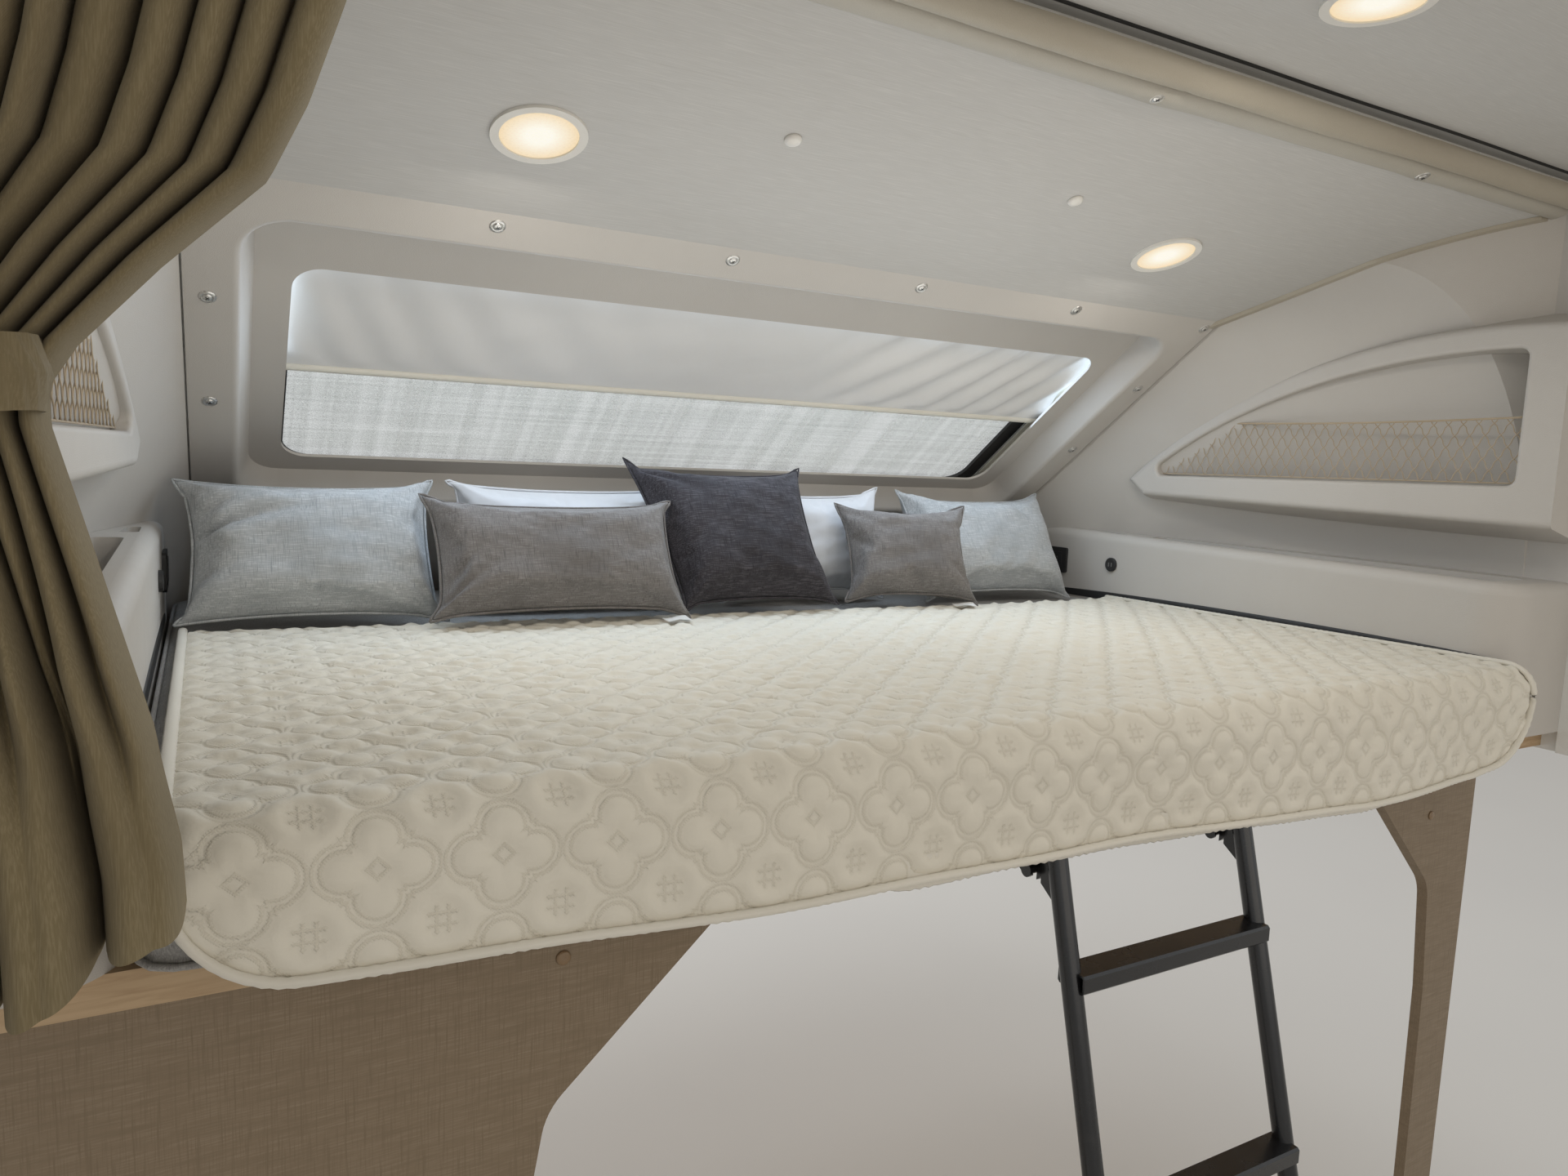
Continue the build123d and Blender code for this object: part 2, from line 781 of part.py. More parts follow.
# Cushions: position of the foot, from the bed's left side, middle or right side; lean from upright,
# turn, size and thickness
cushion_table = (
    # name, side, x, y, lean, turn, width, height, thickness
    ("pillow_light_left", -1, 221, 918, 30, 0, 430, 300, 120),
    ("pillow_light_right", 1, -303, 955, 30, 0, 470, 300, 120),
    ("pillow_dark", 0, 10, 850, 33, 0, 400, 350, 110),
    ("pillow_small_left", 0, -395, 815, 30, 0, 490, 260, 90),
    ("pillow_small_right", 0, 382, 865, 28, -15, 320, 250, 90),
    ("pillow_white_left", 0, -300, 1060, 25, 0, 520, 220, 120),
    ("pillow_white_right", 0, 225, 1060, 25, 0, 440, 220, 120),
)
cushions = {}
for name, side, x, y, lean, turn, width, height, thickness in cushion_table:
    swing = radians(turn)
    upright = cos(radians(lean))
    seat = bed_top if y < quilt_length else bed_top - quilt_thickness
    face = Plane(
        origin=(side * mattress_width / 2 + x, bed_rear + y, seat + cushion_lift),
        x_dir=(cos(swing), sin(swing), 0),
        z_dir=(sin(swing) * upright, -cos(swing) * upright, sin(radians(lean))),
    )
    with BuildPart() as cushion:
        for depth, share in ((-0.5, cushion_crown), (0, 1), (0.5, cushion_crown)):
            with BuildSketch(face.offset(depth * thickness)) as outline:
                with Locations((0, height / 2)):
                    Rectangle(width * share, height * share)
                chamfer(outline.vertices(), cushion_corner * share)
        loft(ruled=True)
    cushions[name] = cushion

# Bulkhead panels under the bed's rear edge: the walk-through is an arch between them
with BuildPart() as bulkhead_left:
    with BuildSketch(Plane.XZ.offset(-(bed_rear + bulkhead_position))) as panel:
        with BuildLine():
            Polyline(
                (left_wall, floor_rebate_depth),
                (left_wall + arch_left_top, floor_rebate_depth),
                (left_wall + arch_left_shoulder, bed_top + arch_left_shoulder_level),
                (left_wall + arch_left_foot, bed_top + arch_left_foot_level),
                (left_wall + arch_left_foot, bed_top + bulkhead_foot),
                (left_wall, bed_top + bulkhead_foot),
                close=True,
            )
        make_face()
        shoulder = (left_wall + arch_left_shoulder, bed_top + arch_left_shoulder_level, 0)
        fillet(panel.vertices().sort_by_distance(shoulder)[0], arch_corner_radius)
    extrude(amount=-bulkhead_thickness)

with BuildPart() as bulkhead_right:
    with BuildSketch(Plane.XZ.offset(-(bed_rear + bulkhead_position))) as panel:
        with BuildLine():
            Polyline(
                (bulkhead_right_edge, floor_rebate_depth),
                (bulkhead_right_edge - arch_right_top, floor_rebate_depth),
                (bulkhead_right_edge - arch_right_shoulder, bed_top + arch_right_shoulder_level),
                (bulkhead_right_edge - arch_right_waist, bed_top + arch_right_waist_level),
                (bulkhead_right_edge - arch_right_foot, bed_top + bulkhead_foot),
                (bulkhead_right_edge, bed_top + bulkhead_foot),
                close=True,
            )
        make_face()
        shoulder = (bulkhead_right_edge - arch_right_shoulder, bed_top + arch_right_shoulder_level, 0)
        fillet(panel.vertices().sort_by_distance(shoulder)[0], arch_corner_radius)
    extrude(amount=-bulkhead_thickness)

# Ladder: rails lean on their hooks, with steps between them and rubber feet
lean_run = tan(radians(ladder_lean))


def rail_y(z):
    """Where the rails' axes stand at a height above the bed's level."""
    return bed_rear + ladder_top_position - lean_run * (ladder_top - z)


rail_down = (0, -sin(radians(ladder_lean)), -cos(radians(ladder_lean)))
rail_length = (ladder_top - bulkhead_foot - foot_sole) / cos(radians(ladder_lean))
rail_sides = (ladder_middle - ladder_width / 2, ladder_middle + ladder_width / 2)


def rail_plane(x, level):
    """Plane across a rail at a height above the bed's level, facing down the rail."""
    return Plane(origin=(x, rail_y(level), bed_top + level), x_dir=(1, 0, 0), z_dir=rail_down)


with BuildPart() as ladder_rails:
    for x in rail_sides:
        with BuildSketch(rail_plane(x, ladder_top)):
            Circle(rail_radius)
            Circle(rail_radius - rail_wall, mode=Mode.SUBTRACT)
        extrude(amount=rail_length)

with BuildPart() as rail_space:
    for x in rail_sides:
        with BuildSketch(rail_plane(x, ladder_top)):
            Circle(rail_radius)
        extrude(amount=rail_length)

with BuildPart() as ladder_rungs:
    for step in range(rung_count):
        level = rung_first - step * rung_pitch
        middle = Plane(
            origin=(ladder_middle, rail_y(level), bed_top + level), x_dir=(0, 1, 0), z_dir=(1, 0, 0)
        )
        with BuildSketch(middle) as rung:
            Rectangle(rung_depth, rung_height)
            chamfer(rung.vertices(), rung_chamfer)
            Rectangle(rung_depth - 2 * rung_wall, rung_height - 2 * rung_wall, mode=Mode.SUBTRACT)
        extrude(amount=ladder_width / 2, both=True)
    add(rail_space.part, mode=Mode.SUBTRACT)

pin_y = bed_rear + hook_pin_position
pin_z = bed_top + hook_pin_level
with BuildPart() as ladder_hooks:
    for x in rail_sides:
        with BuildSketch(Plane.YZ.offset(x - hook_thickness / 2)):
            with BuildLine():
                Polyline(
                    (pin_y, pin_z + hook_radius),
                    (rail_y(hook_pin_level + hook_radius), pin_z + hook_radius),
                    (rail_y(hook_pin_level - 3 * hook_radius), pin_z - 3 * hook_radius),
                    (pin_y - hook_radius, pin_z - hook_radius),
                    (pin_y - hook_radius, pin_z),
                    (pin_y, pin_z + hook_radius),
                )
            make_face()
            with Locations((pin_y, pin_z)):
                Circle(hook_radius)
                Circle(hook_pin_radius + hook_running_gap, mode=Mode.SUBTRACT)
                Rectangle(
                    2 * (hook_pin_radius + hook_running_gap),
                    2 * hook_radius,
                    align=(Align.CENTER, Align.MAX),
                    mode=Mode.SUBTRACT,
                )
        extrude(amount=hook_thickness)
    add(rail_space.part, mode=Mode.SUBTRACT)

bracket_underside = floor_rebate_depth - bracket_base
with BuildPart() as ladder_brackets:
    for x in rail_sides:
        with BuildSketch(Plane.XY.offset(bracket_underside)):
            with Locations((x, floor_rear)):
                Rectangle(bracket_gap + 2 * bracket_cheek, bracket_length, align=(Align.CENTER, Align.MIN))
        extrude(amount=bracket_base)
        for side in (-1, 1):
            cheek = Plane.YZ.offset(x + side * (bracket_gap + bracket_cheek) / 2 - bracket_cheek / 2)
            with BuildSketch(cheek):
                with BuildLine():
                    Polyline(
                        (floor_rear, bracket_underside),
                        (floor_rear + bracket_length / 2, bracket_underside),
                        (pin_y, pin_z - hook_pin_radius - bracket_eye),
                        (pin_y - hook_pin_radius - bracket_eye, pin_z),
                        close=True,
                    )
                make_face()
                with Locations((pin_y, pin_z)):
                    Circle(hook_pin_radius + bracket_eye)
            extrude(amount=bracket_cheek)
        with BuildSketch(Plane.YZ.offset(x)):
            with Locations((pin_y, pin_z)):
                Circle(hook_pin_radius)
        extrude(amount=bracket_gap / 2 + bracket_cheek, both=True)

with BuildPart() as ladder_feet:
    for x in rail_sides:
        with BuildSketch(rail_plane(x, bulkhead_foot + foot_sole)):
            Circle(rail_radius + foot_wall)
        extrude(amount=foot_height, both=True)
    split(bisect_by=Plane.XY.offset(bed_top + bulkhead_foot), keep=Keep.TOP)
    add(rail_space.part, mode=Mode.SUBTRACT)

# Curtain on its track, gathered by the tie-back
with BuildPart() as curtain_track:
    with BuildSketch(Plane.YZ.offset(track_start)):
        with Locations((bed_rear + track_line, bed_top + rear_ceiling_height)):
            Rectangle(track_section_width, track_section_height, align=(Align.CENTER, Align.MAX))
        with Locations((bed_rear + track_line, bed_top + rear_ceiling_height - track_section_wall)):
            Rectangle(
                track_section_width - 2 * track_section_wall,
                track_section_height - 2 * track_section_wall,
                align=(Align.CENTER, Align.MAX),
                mode=Mode.SUBTRACT,
            )
            Rectangle(track_slot, track_section_height, align=(Align.CENTER, Align.MAX), mode=Mode.SUBTRACT)
    extrude(amount=track_finish - track_start)

curtain_table = (
    # height, width, rear edge, front edge
    (815, 408, -240, -72),
    (560, 340, -225, -80),
    (345, 174, -190, -95),
    (300, 174, -190, -95),
    (100, 223, -210, -80),
    (-88, 242, -220, -72),
)


def curtain_section(level, width, rear, front, grow=0):
    """Plan of the gathered curtain at one height."""
    with BuildSketch(Plane.XY.offset(bed_top + level)) as section:
        with Locations((curtain_outer + width / 2, bed_rear + (rear + front) / 2)):
            Rectangle(width + 2 * grow, front - rear + 2 * grow)
        chamfer(section.vertices(), curtain_corner)
    return section.sketch


with BuildPart() as curtain:
    loft([curtain_section(*row) for row in curtain_table], ruled=True)

waist = curtain_table[3]
with BuildPart() as curtain_tieback:
    extrude(curtain_section(*waist, grow=tieback_thickness + fit_gap), amount=tieback_height)
    extrude(curtain_section(*waist, grow=fit_gap), amount=tieback_height, mode=Mode.SUBTRACT)


def mirrored(piece):
    with BuildPart() as other:
        mirror(piece.part, about=Plane.YZ)
    return other


pieces = {
    "nose_cap": nose_cap,
    "body_frame": body_frame,
    "bunk_floor": bunk_floor,
    "front_panel": front_panel,
    "side_lining_right": side_lining_right,
    "side_lining_left": mirrored(side_lining_right),
    "ceiling_panel": ceiling_panel,
    "rear_ceiling": rear_ceiling,
    "ceiling_strips": ceiling_strips,
    "ceiling_trim": ceiling_trim,
    "downlight_rims": downlight_rims,
    "downlight_lenses": downlight_lenses,
    "window_glass": window_glass,
    "window_seal": window_seal,
    "shade_roller": shade_roller,
    "shade_tracks": shade_tracks,
    "shade_fabric": shade_fabric,
    "shade_bar": shade_bar,
    "ledge_right": ledge_right,
    "ledge_left": mirrored(ledge_right),
    "outlet_right": outlet_right,
    "outlet_left": mirrored(outlet_right),
    "socket_right": socket_right,
    "socket_left": mirrored(socket_right),
    "pocket_right": pocket_right,
    "pocket_left": mirrored(pocket_right),
    "net_right": net_right,
    "net_left": mirrored(net_right),
    "mattress": mattress,
    "quilt": quilt,
    "bulkhead_left": bulkhead_left,
    "bulkhead_right": bulkhead_right,
    "ladder_brackets": ladder_brackets,
    "ladder_rails": ladder_rails,
    "ladder_rungs": ladder_rungs,
    "ladder_hooks": ladder_hooks,
    "ladder_feet": ladder_feet,
    "curtain_track": curtain_track,
    "curtain": curtain,
    "curtain_tieback": curtain_tieback,
}
pieces.update(cushions)

os.makedirs("parts", exist_ok=True)
for name, piece in pieces.items():
    piece.part.label = name
    export_step(piece.part, f"parts/{name}.step")
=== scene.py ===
import json
from math import cos, hypot, pi, radians, sin

import bpy
import numpy as np
from mathutils import Matrix, Vector


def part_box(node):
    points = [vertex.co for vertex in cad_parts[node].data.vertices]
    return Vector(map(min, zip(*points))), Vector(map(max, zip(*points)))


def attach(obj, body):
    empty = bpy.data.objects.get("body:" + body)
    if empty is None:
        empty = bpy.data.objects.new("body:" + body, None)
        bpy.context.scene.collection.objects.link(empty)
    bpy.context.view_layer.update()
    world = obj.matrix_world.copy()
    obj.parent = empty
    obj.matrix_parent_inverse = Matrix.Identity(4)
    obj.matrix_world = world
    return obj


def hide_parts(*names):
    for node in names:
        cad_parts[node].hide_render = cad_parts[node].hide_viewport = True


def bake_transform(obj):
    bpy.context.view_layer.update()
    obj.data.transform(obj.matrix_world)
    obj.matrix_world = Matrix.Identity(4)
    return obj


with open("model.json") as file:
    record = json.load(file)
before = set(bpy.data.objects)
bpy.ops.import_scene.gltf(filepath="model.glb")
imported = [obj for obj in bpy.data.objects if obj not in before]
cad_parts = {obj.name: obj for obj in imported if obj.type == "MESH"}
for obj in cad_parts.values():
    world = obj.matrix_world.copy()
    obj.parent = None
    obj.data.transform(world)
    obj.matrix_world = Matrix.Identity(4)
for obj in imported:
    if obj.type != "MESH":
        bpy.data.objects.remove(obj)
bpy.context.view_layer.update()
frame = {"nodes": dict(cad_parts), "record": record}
nodes = frame["nodes"]
scene = bpy.context.scene

# The camera stands in the coach, left of the middle, and looks forward and to the right.
CAMERA_AT = (-0.949, -1.751, 0.469)
CAMERA_RIGHT = (0.87349, -0.48541, 0.03723)
CAMERA_UP = (0.02341, 0.11828, 0.99270)
CAMERA_BACK = (-0.48627, -0.86625, 0.11468)
camera_data = bpy.data.cameras.new("camera")
camera_data.lens = 23.757
camera_data.sensor_width = 36
camera_data.clip_start = 0.02
camera_data.dof.use_dof = False
camera = bpy.data.objects.new("camera", camera_data)
scene.collection.objects.link(camera)
turn = Matrix((CAMERA_RIGHT, CAMERA_UP, CAMERA_BACK)).transposed().to_4x4()
camera.matrix_world = Matrix.Translation(CAMERA_AT) @ turn
scene.camera = camera
scene.view_settings.view_transform = "Standard"

# Levels that the pieces share, read from the CAD nodes
bed_low, bed_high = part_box("mattress")
BED_REAR = bed_low.y
BED_TOP = bed_high.z + 0.012
FLOOR_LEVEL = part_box("ladder_feet")[0].z
SIDES = (1, "right"), (-1, "left")


def link(source, target):
    target.id_data.links.new(source, target)


class Value:
    """A shader socket with arithmetic: each operation adds one Math node."""

    def __init__(self, socket):
        self.socket, self.tree = socket, socket.id_data

    def op(self, kind, *others):
        node = self.tree.nodes.new("ShaderNodeMath")
        node.operation = kind
        for k, x in enumerate((self, *others)):
            if isinstance(x, Value):
                link(x.socket, node.inputs[k])
            else:
                node.inputs[k].default_value = x
        return Value(node.outputs[0])

    def __add__(self, x):
        return self.op("ADD", x)

    def __sub__(self, x):
        return self.op("SUBTRACT", x)

    def __mul__(self, x):
        return self.op("MULTIPLY", x)

    def __abs__(self):
        return self.op("ABSOLUTE")

    def least(self, x):
        return self.op("MINIMUM", x)

    def most(self, x):
        return self.op("MAXIMUM", x)

    def wrap(self, low, high):
        return self.op("WRAP", high, low)

    def hypot(self, x):
        return (self * self + x * x).op("SQRT")

    def ramp(self, low, high, to_low=0.0, to_high=1.0):
        """Goes from to_low to to_high as the value goes from low to high, and no further."""
        node = self.tree.nodes.new("ShaderNodeMapRange")
        for key, number in zip(("From Min", "From Max", "To Min", "To Max"), (low, high, to_low, to_high)):
            node.inputs[key].default_value = number
        link(self.socket, node.inputs["Value"])
        return Value(node.outputs[0])


class Finish:
    """A Principled material whose colour, roughness and relief come from its own procedural nodes."""

    def __init__(self, name, colour, rough=0.6, **constants):
        self.material = bpy.data.materials.new(name)
        self.material.use_nodes = True
        self.tree = self.material.node_tree
        self.shader = self.tree.nodes["Principled BSDF"]
        self.shader.inputs["Base Color"].default_value = (*colour, 1)
        self.shader.inputs["Roughness"].default_value = rough
        for key, value in constants.items():
            self.shader.inputs[key.replace("_", " ")].default_value = value
        self.shade, self.normal = colour, None
        self.place = self.tree.nodes.new("ShaderNodeTexCoord").outputs["Object"]

    def texture(self, kind, stretch, turn, **values):
        """A texture node in the piece's own coordinates, stretched and turned."""
        mapping = self.tree.nodes.new("ShaderNodeMapping")
        mapping.inputs["Scale"].default_value = stretch
        mapping.inputs["Rotation"].default_value = turn
        link(self.place, mapping.inputs["Vector"])
        node = self.tree.nodes.new(kind)
        for key, value in values.items():
            node.inputs[key].default_value = value
        link(mapping.outputs[0], node.inputs["Vector"])
        return node

    def noise(self, scale, stretch=(1, 1, 1), detail=3, turn=(0, 0, 0), distortion=0.0):
        node = self.texture("ShaderNodeTexNoise", stretch, turn, Scale=scale, Detail=detail, Distortion=distortion)
        return Value(node.outputs["Fac"])

    def cells(self, scale):
        node = self.texture("ShaderNodeTexVoronoi", (1, 1, 1), (0, 0, 0), Scale=scale)
        return Value(node.outputs["Distance"])

    def axes(self, vector):
        node = self.tree.nodes.new("ShaderNodeSeparateXYZ")
        link(vector, node.inputs[0])
        return [Value(out) for out in node.outputs]

    def flat(self):
        """Flat cloth coordinates in metres, kept in the mesh as a UV map."""
        uv = self.tree.nodes.new("ShaderNodeUVMap")
        uv.uv_map = "flat"
        return self.axes(uv.outputs[0])[:2]

    def mix(self, share, first, second):
        """A colour between two; the first may be a socket."""
        node = self.tree.nodes.new("ShaderNodeMix")
        node.data_type = "RGBA"
        link(share.socket, node.inputs[0])
        if isinstance(first, tuple):
            node.inputs[6].default_value = (*first, 1)
        else:
            link(first, node.inputs[6])
        node.inputs[7].default_value = (*second, 1)
        return node.outputs[2]

    def tint(self, value, colour, low=0.35, high=0.65):
        """Goes towards colour where value is high."""
        self.shade = self.mix(value.ramp(low, high), self.shade, colour)
        link(self.shade, self.shader.inputs["Base Color"])
        return self

    def rough(self, value, low, high):
        link(value.ramp(0, 1, low, high).socket, self.shader.inputs["Roughness"])
        return self

    def relief(self, value, depth, strength=1.0):
        """Bump of that depth in metres."""
        bump = self.tree.nodes.new("ShaderNodeBump")
        bump.inputs["Distance"].default_value = depth
        bump.inputs["Strength"].default_value = strength
        link(value.socket, bump.inputs["Height"])
        if self.normal is not None:
            link(self.normal, bump.inputs["Normal"])
        self.normal = bump.outputs[0]
        link(self.normal, self.shader.inputs["Normal"])
        return self


def plastic(name, colour, other, rough=0.55, grain=900, depth=0.0004):
    f = Finish(name, colour, rough)
    f.tint(f.noise(2.2, detail=5), other, 0.3, 0.75)
    f.rough(f.noise(30), rough - 0.08, rough + 0.1)
    return f.relief(f.cells(grain), depth, 0.5).relief(f.noise(60), 0.0006, 0.25)


def linen(name, colour, light, dark, thread=1500, rough=0.9, depth=0.0006, sheen=0.12):
    """Plain weave of slubby threads, in the piece's own x and y."""
    f = Finish(name, colour, rough, Sheen_Weight=sheen, Sheen_Roughness=0.6)
    across = f.noise(thread, (0.045, 1, 0.3), 2)
    along = f.noise(thread, (1, 0.045, 0.3), 2)
    f.tint(across, light, 0.48, 0.68).tint(along, dark, 0.5, 0.72)
    f.tint(f.noise(9, detail=4), dark, 0.5, 0.95)
    return f.relief(across, depth, 0.7).relief(along, depth, 0.7)


def cotton(name, colour, other, rough=0.9):
    f = Finish(name, colour, rough, Sheen_Weight=0.2)
    f.tint(f.noise(5, detail=4), other, 0.35, 0.8)
    return f.relief(f.noise(1400, (0.3, 1, 1), 1), 0.0003, 0.5).relief(f.noise(26, detail=4), 0.002, 0.3)


def metal(name, colour, rough=0.3):
    f = Finish(name, colour, rough, Metallic=1.0)
    f.rough(f.noise(120, detail=4), rough - 0.08, rough + 0.16)
    return f.relief(f.noise(300), 0.0001, 0.4)


def shell_finish():
    f = Finish("gelcoat", (0.80, 0.80, 0.775), 0.28, Coat_Weight=0.4, Coat_Roughness=0.12)
    f.tint(f.noise(1.4, detail=5), (0.72, 0.72, 0.69), 0.35, 0.8)
    f.rough(f.noise(18), 0.2, 0.38)
    return f.relief(f.noise(150, detail=1), 0.0003, 0.25)


def board_finish():
    f = Finish("plywood", (0.52, 0.37, 0.22), 0.6)
    grain = f.noise(14, (1, 12, 12), 6, distortion=0.6)
    f.tint(grain, (0.36, 0.23, 0.12), 0.4, 0.7).tint(f.noise(3), (0.60, 0.45, 0.29), 0.45, 0.8)
    return f.relief(grain, 0.0005, 0.5)


def ceiling_finish():
    """Off-white vinyl printed with short thin broken lines across the vehicle."""
    f = Finish("ceiling_vinyl", (0.53, 0.522, 0.505), 0.62)
    lines = f.noise(70, (0.22, 7.0, 7.0), 4, distortion=0.25)
    fine = f.noise(330, (0.07, 2.2, 2.2), 2)
    f.tint(lines, (0.50, 0.49, 0.47), 0.52, 0.72).tint(fine, (0.60, 0.59, 0.57), 0.5, 0.78)
    return f.relief(lines, 0.0005, 0.3).relief(fine, 0.0003, 0.35)


def laminate_finish():
    """Brown laminate printed with the look of fine linen, its threads slightly aslant."""
    f = Finish("linen_laminate", (0.235, 0.175, 0.112), 0.5)
    across = f.noise(620, (0.05, 1, 1), 3, (0, 0.05, 0))
    along = f.noise(700, (1, 1, 0.035), 3, (0, 0.04, 0))
    wide_grain = f.noise(46, (0.3, 1, 3.0), 4)
    f.tint(across, (0.285, 0.22, 0.15), 0.46, 0.72).tint(along, (0.19, 0.138, 0.085), 0.5, 0.74)
    f.tint(wide_grain, (0.20, 0.148, 0.092), 0.45, 0.8)
    f.rough(wide_grain, 0.42, 0.6)
    return f.relief(across, 0.0002, 0.45).relief(along, 0.0002, 0.4)


def curtain_finish():
    f = Finish("curtain_weave", (0.22, 0.174, 0.092), 0.88, Sheen_Weight=0.06, Sheen_Roughness=0.5)
    u, v = f.flat()
    threads = f.noise(900, (1, 1, 0.05), 2)
    f.tint(threads, (0.285, 0.232, 0.135), 0.42, 0.7).tint(f.noise(4, detail=4), (0.158, 0.122, 0.064), 0.4, 0.85)
    weave = (u * 5200).op("SINE") * (v * 5200).op("SINE")
    return f.relief(weave, 0.0003, 0.5).relief(threads, 0.0004, 0.4)


def glass_finish():
    """Thin pane: pale, with a faint woven haze of fine scratches, and a painted view of the daylit outdoors through
    it in green patches and pale upright streaks.
    """
    f = Finish("pane", (0.70, 0.76, 0.72), 0.12, Specular_IOR_Level=0.5)
    upright = f.noise(46, (1, 0.012, 0.012), 5)
    level = f.noise(120, (0.02, 1, 1), 2)
    grain = f.noise(520, detail=1)
    haze = (upright * 0.3 + level * 0.25 + grain * 0.45).ramp(0.42, 0.66, 0.16, 0.5)
    link(haze.socket, f.shader.inputs["Alpha"])
    # Painted light from outside: the green patches and pale upright streaks stand for the daylit trees seen through
    # the pane.
    f.tint(f.noise(9, (0.5, 1, 1), 4), (0.50, 0.575, 0.50), 0.35, 0.7)
    return f.tint(grain, (0.40, 0.46, 0.41), 0.45, 0.75).tint(upright, (0.86, 0.90, 0.88), 0.60, 0.68)


def steel_finish():
    f = Finish("black_steel", (0.010, 0.010, 0.011), 0.3, Coat_Weight=0.15, Coat_Roughness=0.15)
    f.tint(f.noise(55, detail=6), (0.024, 0.023, 0.023), 0.6, 0.85)
    f.rough(f.noise(25, detail=5), 0.16, 0.36)
    return f.relief(f.noise(320), 0.0002, 0.4)


def point_array(mesh):
    co = np.zeros(len(mesh.vertices) * 3)
    mesh.vertices.foreach_get("co", co)
    return co.reshape(-1, 3)


def lens_centres():
    """Middle of each lens in plan, from the corners of the CAD node's separate discs."""
    co = point_array(nodes["downlight_lenses"].data)
    rear = co[:, 1] < BED_REAR
    groups = (rear, ~rear & (co[:, 0] < 0), ~rear & (co[:, 0] > 0))
    return [tuple((co[g, :2].min(0) + co[g, :2].max(0)) / 2) for g in groups]


def lens_finish():
    """Lit lens: near white in the middle and warm towards its rim."""
    f = Finish("lit_lens", (0.06, 0.055, 0.045), 0.35, Emission_Strength=1.0)
    x, y, _ = f.axes(f.place)
    away = [(x - cx).hypot(y - cy) for cx, cy in lens_centres()]
    glow = away[0].least(away[1]).least(away[2]).ramp(0.016, 0.050, 1, 0)
    link(f.mix(glow, (0.80, 0.62, 0.38), (0.90, 0.87, 0.77)), f.shader.inputs["Emission Color"])
    return f.tint(f.cells(260), (0.10, 0.09, 0.075), 0.2, 0.6).relief(f.cells(260), 0.0004, 0.5)


# One repeat of the quilting, in metres: how far the four lobes lie from its middle and their radius,
# the half width of the square between them, and the distance of the double outline
QUATREFOIL = dict(pitch=0.105, reach=0.0265, lobe=0.0245, notch=0.0282, double=0.0065)


def stitch_lines(a, b, least, most, size, wrap, root):
    """Distances to the quilt's stitched lines at a flat place: outline, bridge and flower."""
    q = QUATREFOIL
    half = q["pitch"] / 2
    a, b = size(wrap(a, half)), size(wrap(b, half))
    lobes = least(root(a - q["reach"], b), root(a, b - q["reach"])) - q["lobe"]
    outline = least(lobes, most(a, b) - q["notch"])
    ea, eb = size(a - half), size(b - half)
    bridge = least(root(ea - 0.0052, most(eb - 0.0115, 0)), root(eb - 0.0052, most(ea - 0.0115, 0)))
    flower = size(a + b - 0.0085) * 0.7
    return outline, bridge, flower, a, b


def quilt_finish():
    f = Finish("quilted_cotton", (0.74, 0.703, 0.61), 0.86, Sheen_Weight=0.1)
    u, v = f.flat()
    outline, bridge, flower, _, _ = stitch_lines(
        u, v, Value.least, Value.most, abs, lambda x, half: x.wrap(-half, half), Value.hypot,
    )
    pair = abs(outline).least(abs(outline + QUATREFOIL["double"]))
    line = pair.least(bridge).least(flower)
    thread = (u * 1850).op("SINE") * (v * 1850).op("SINE")
    holes = (line + thread * 0.0009).ramp(0.0005, 0.0020, 1, 0)
    groove = line.ramp(0.0, 0.004, 1, 0)
    f.tint(f.noise(3.2, detail=4), (0.77, 0.738, 0.65), 0.35, 0.8)
    # Painted shade: the stitch holes along the quilted lines are tinted darker.
    f.tint(holes, (0.69, 0.65, 0.555), 0.0, 1.3)
    f.relief(groove * -1, 0.0010, 0.55).relief(holes * -1, 0.0008, 0.6)
    return f.relief(f.noise(75, detail=3), 0.0025, 0.35).relief(f.noise(2200, detail=1), 0.0002, 0.4)


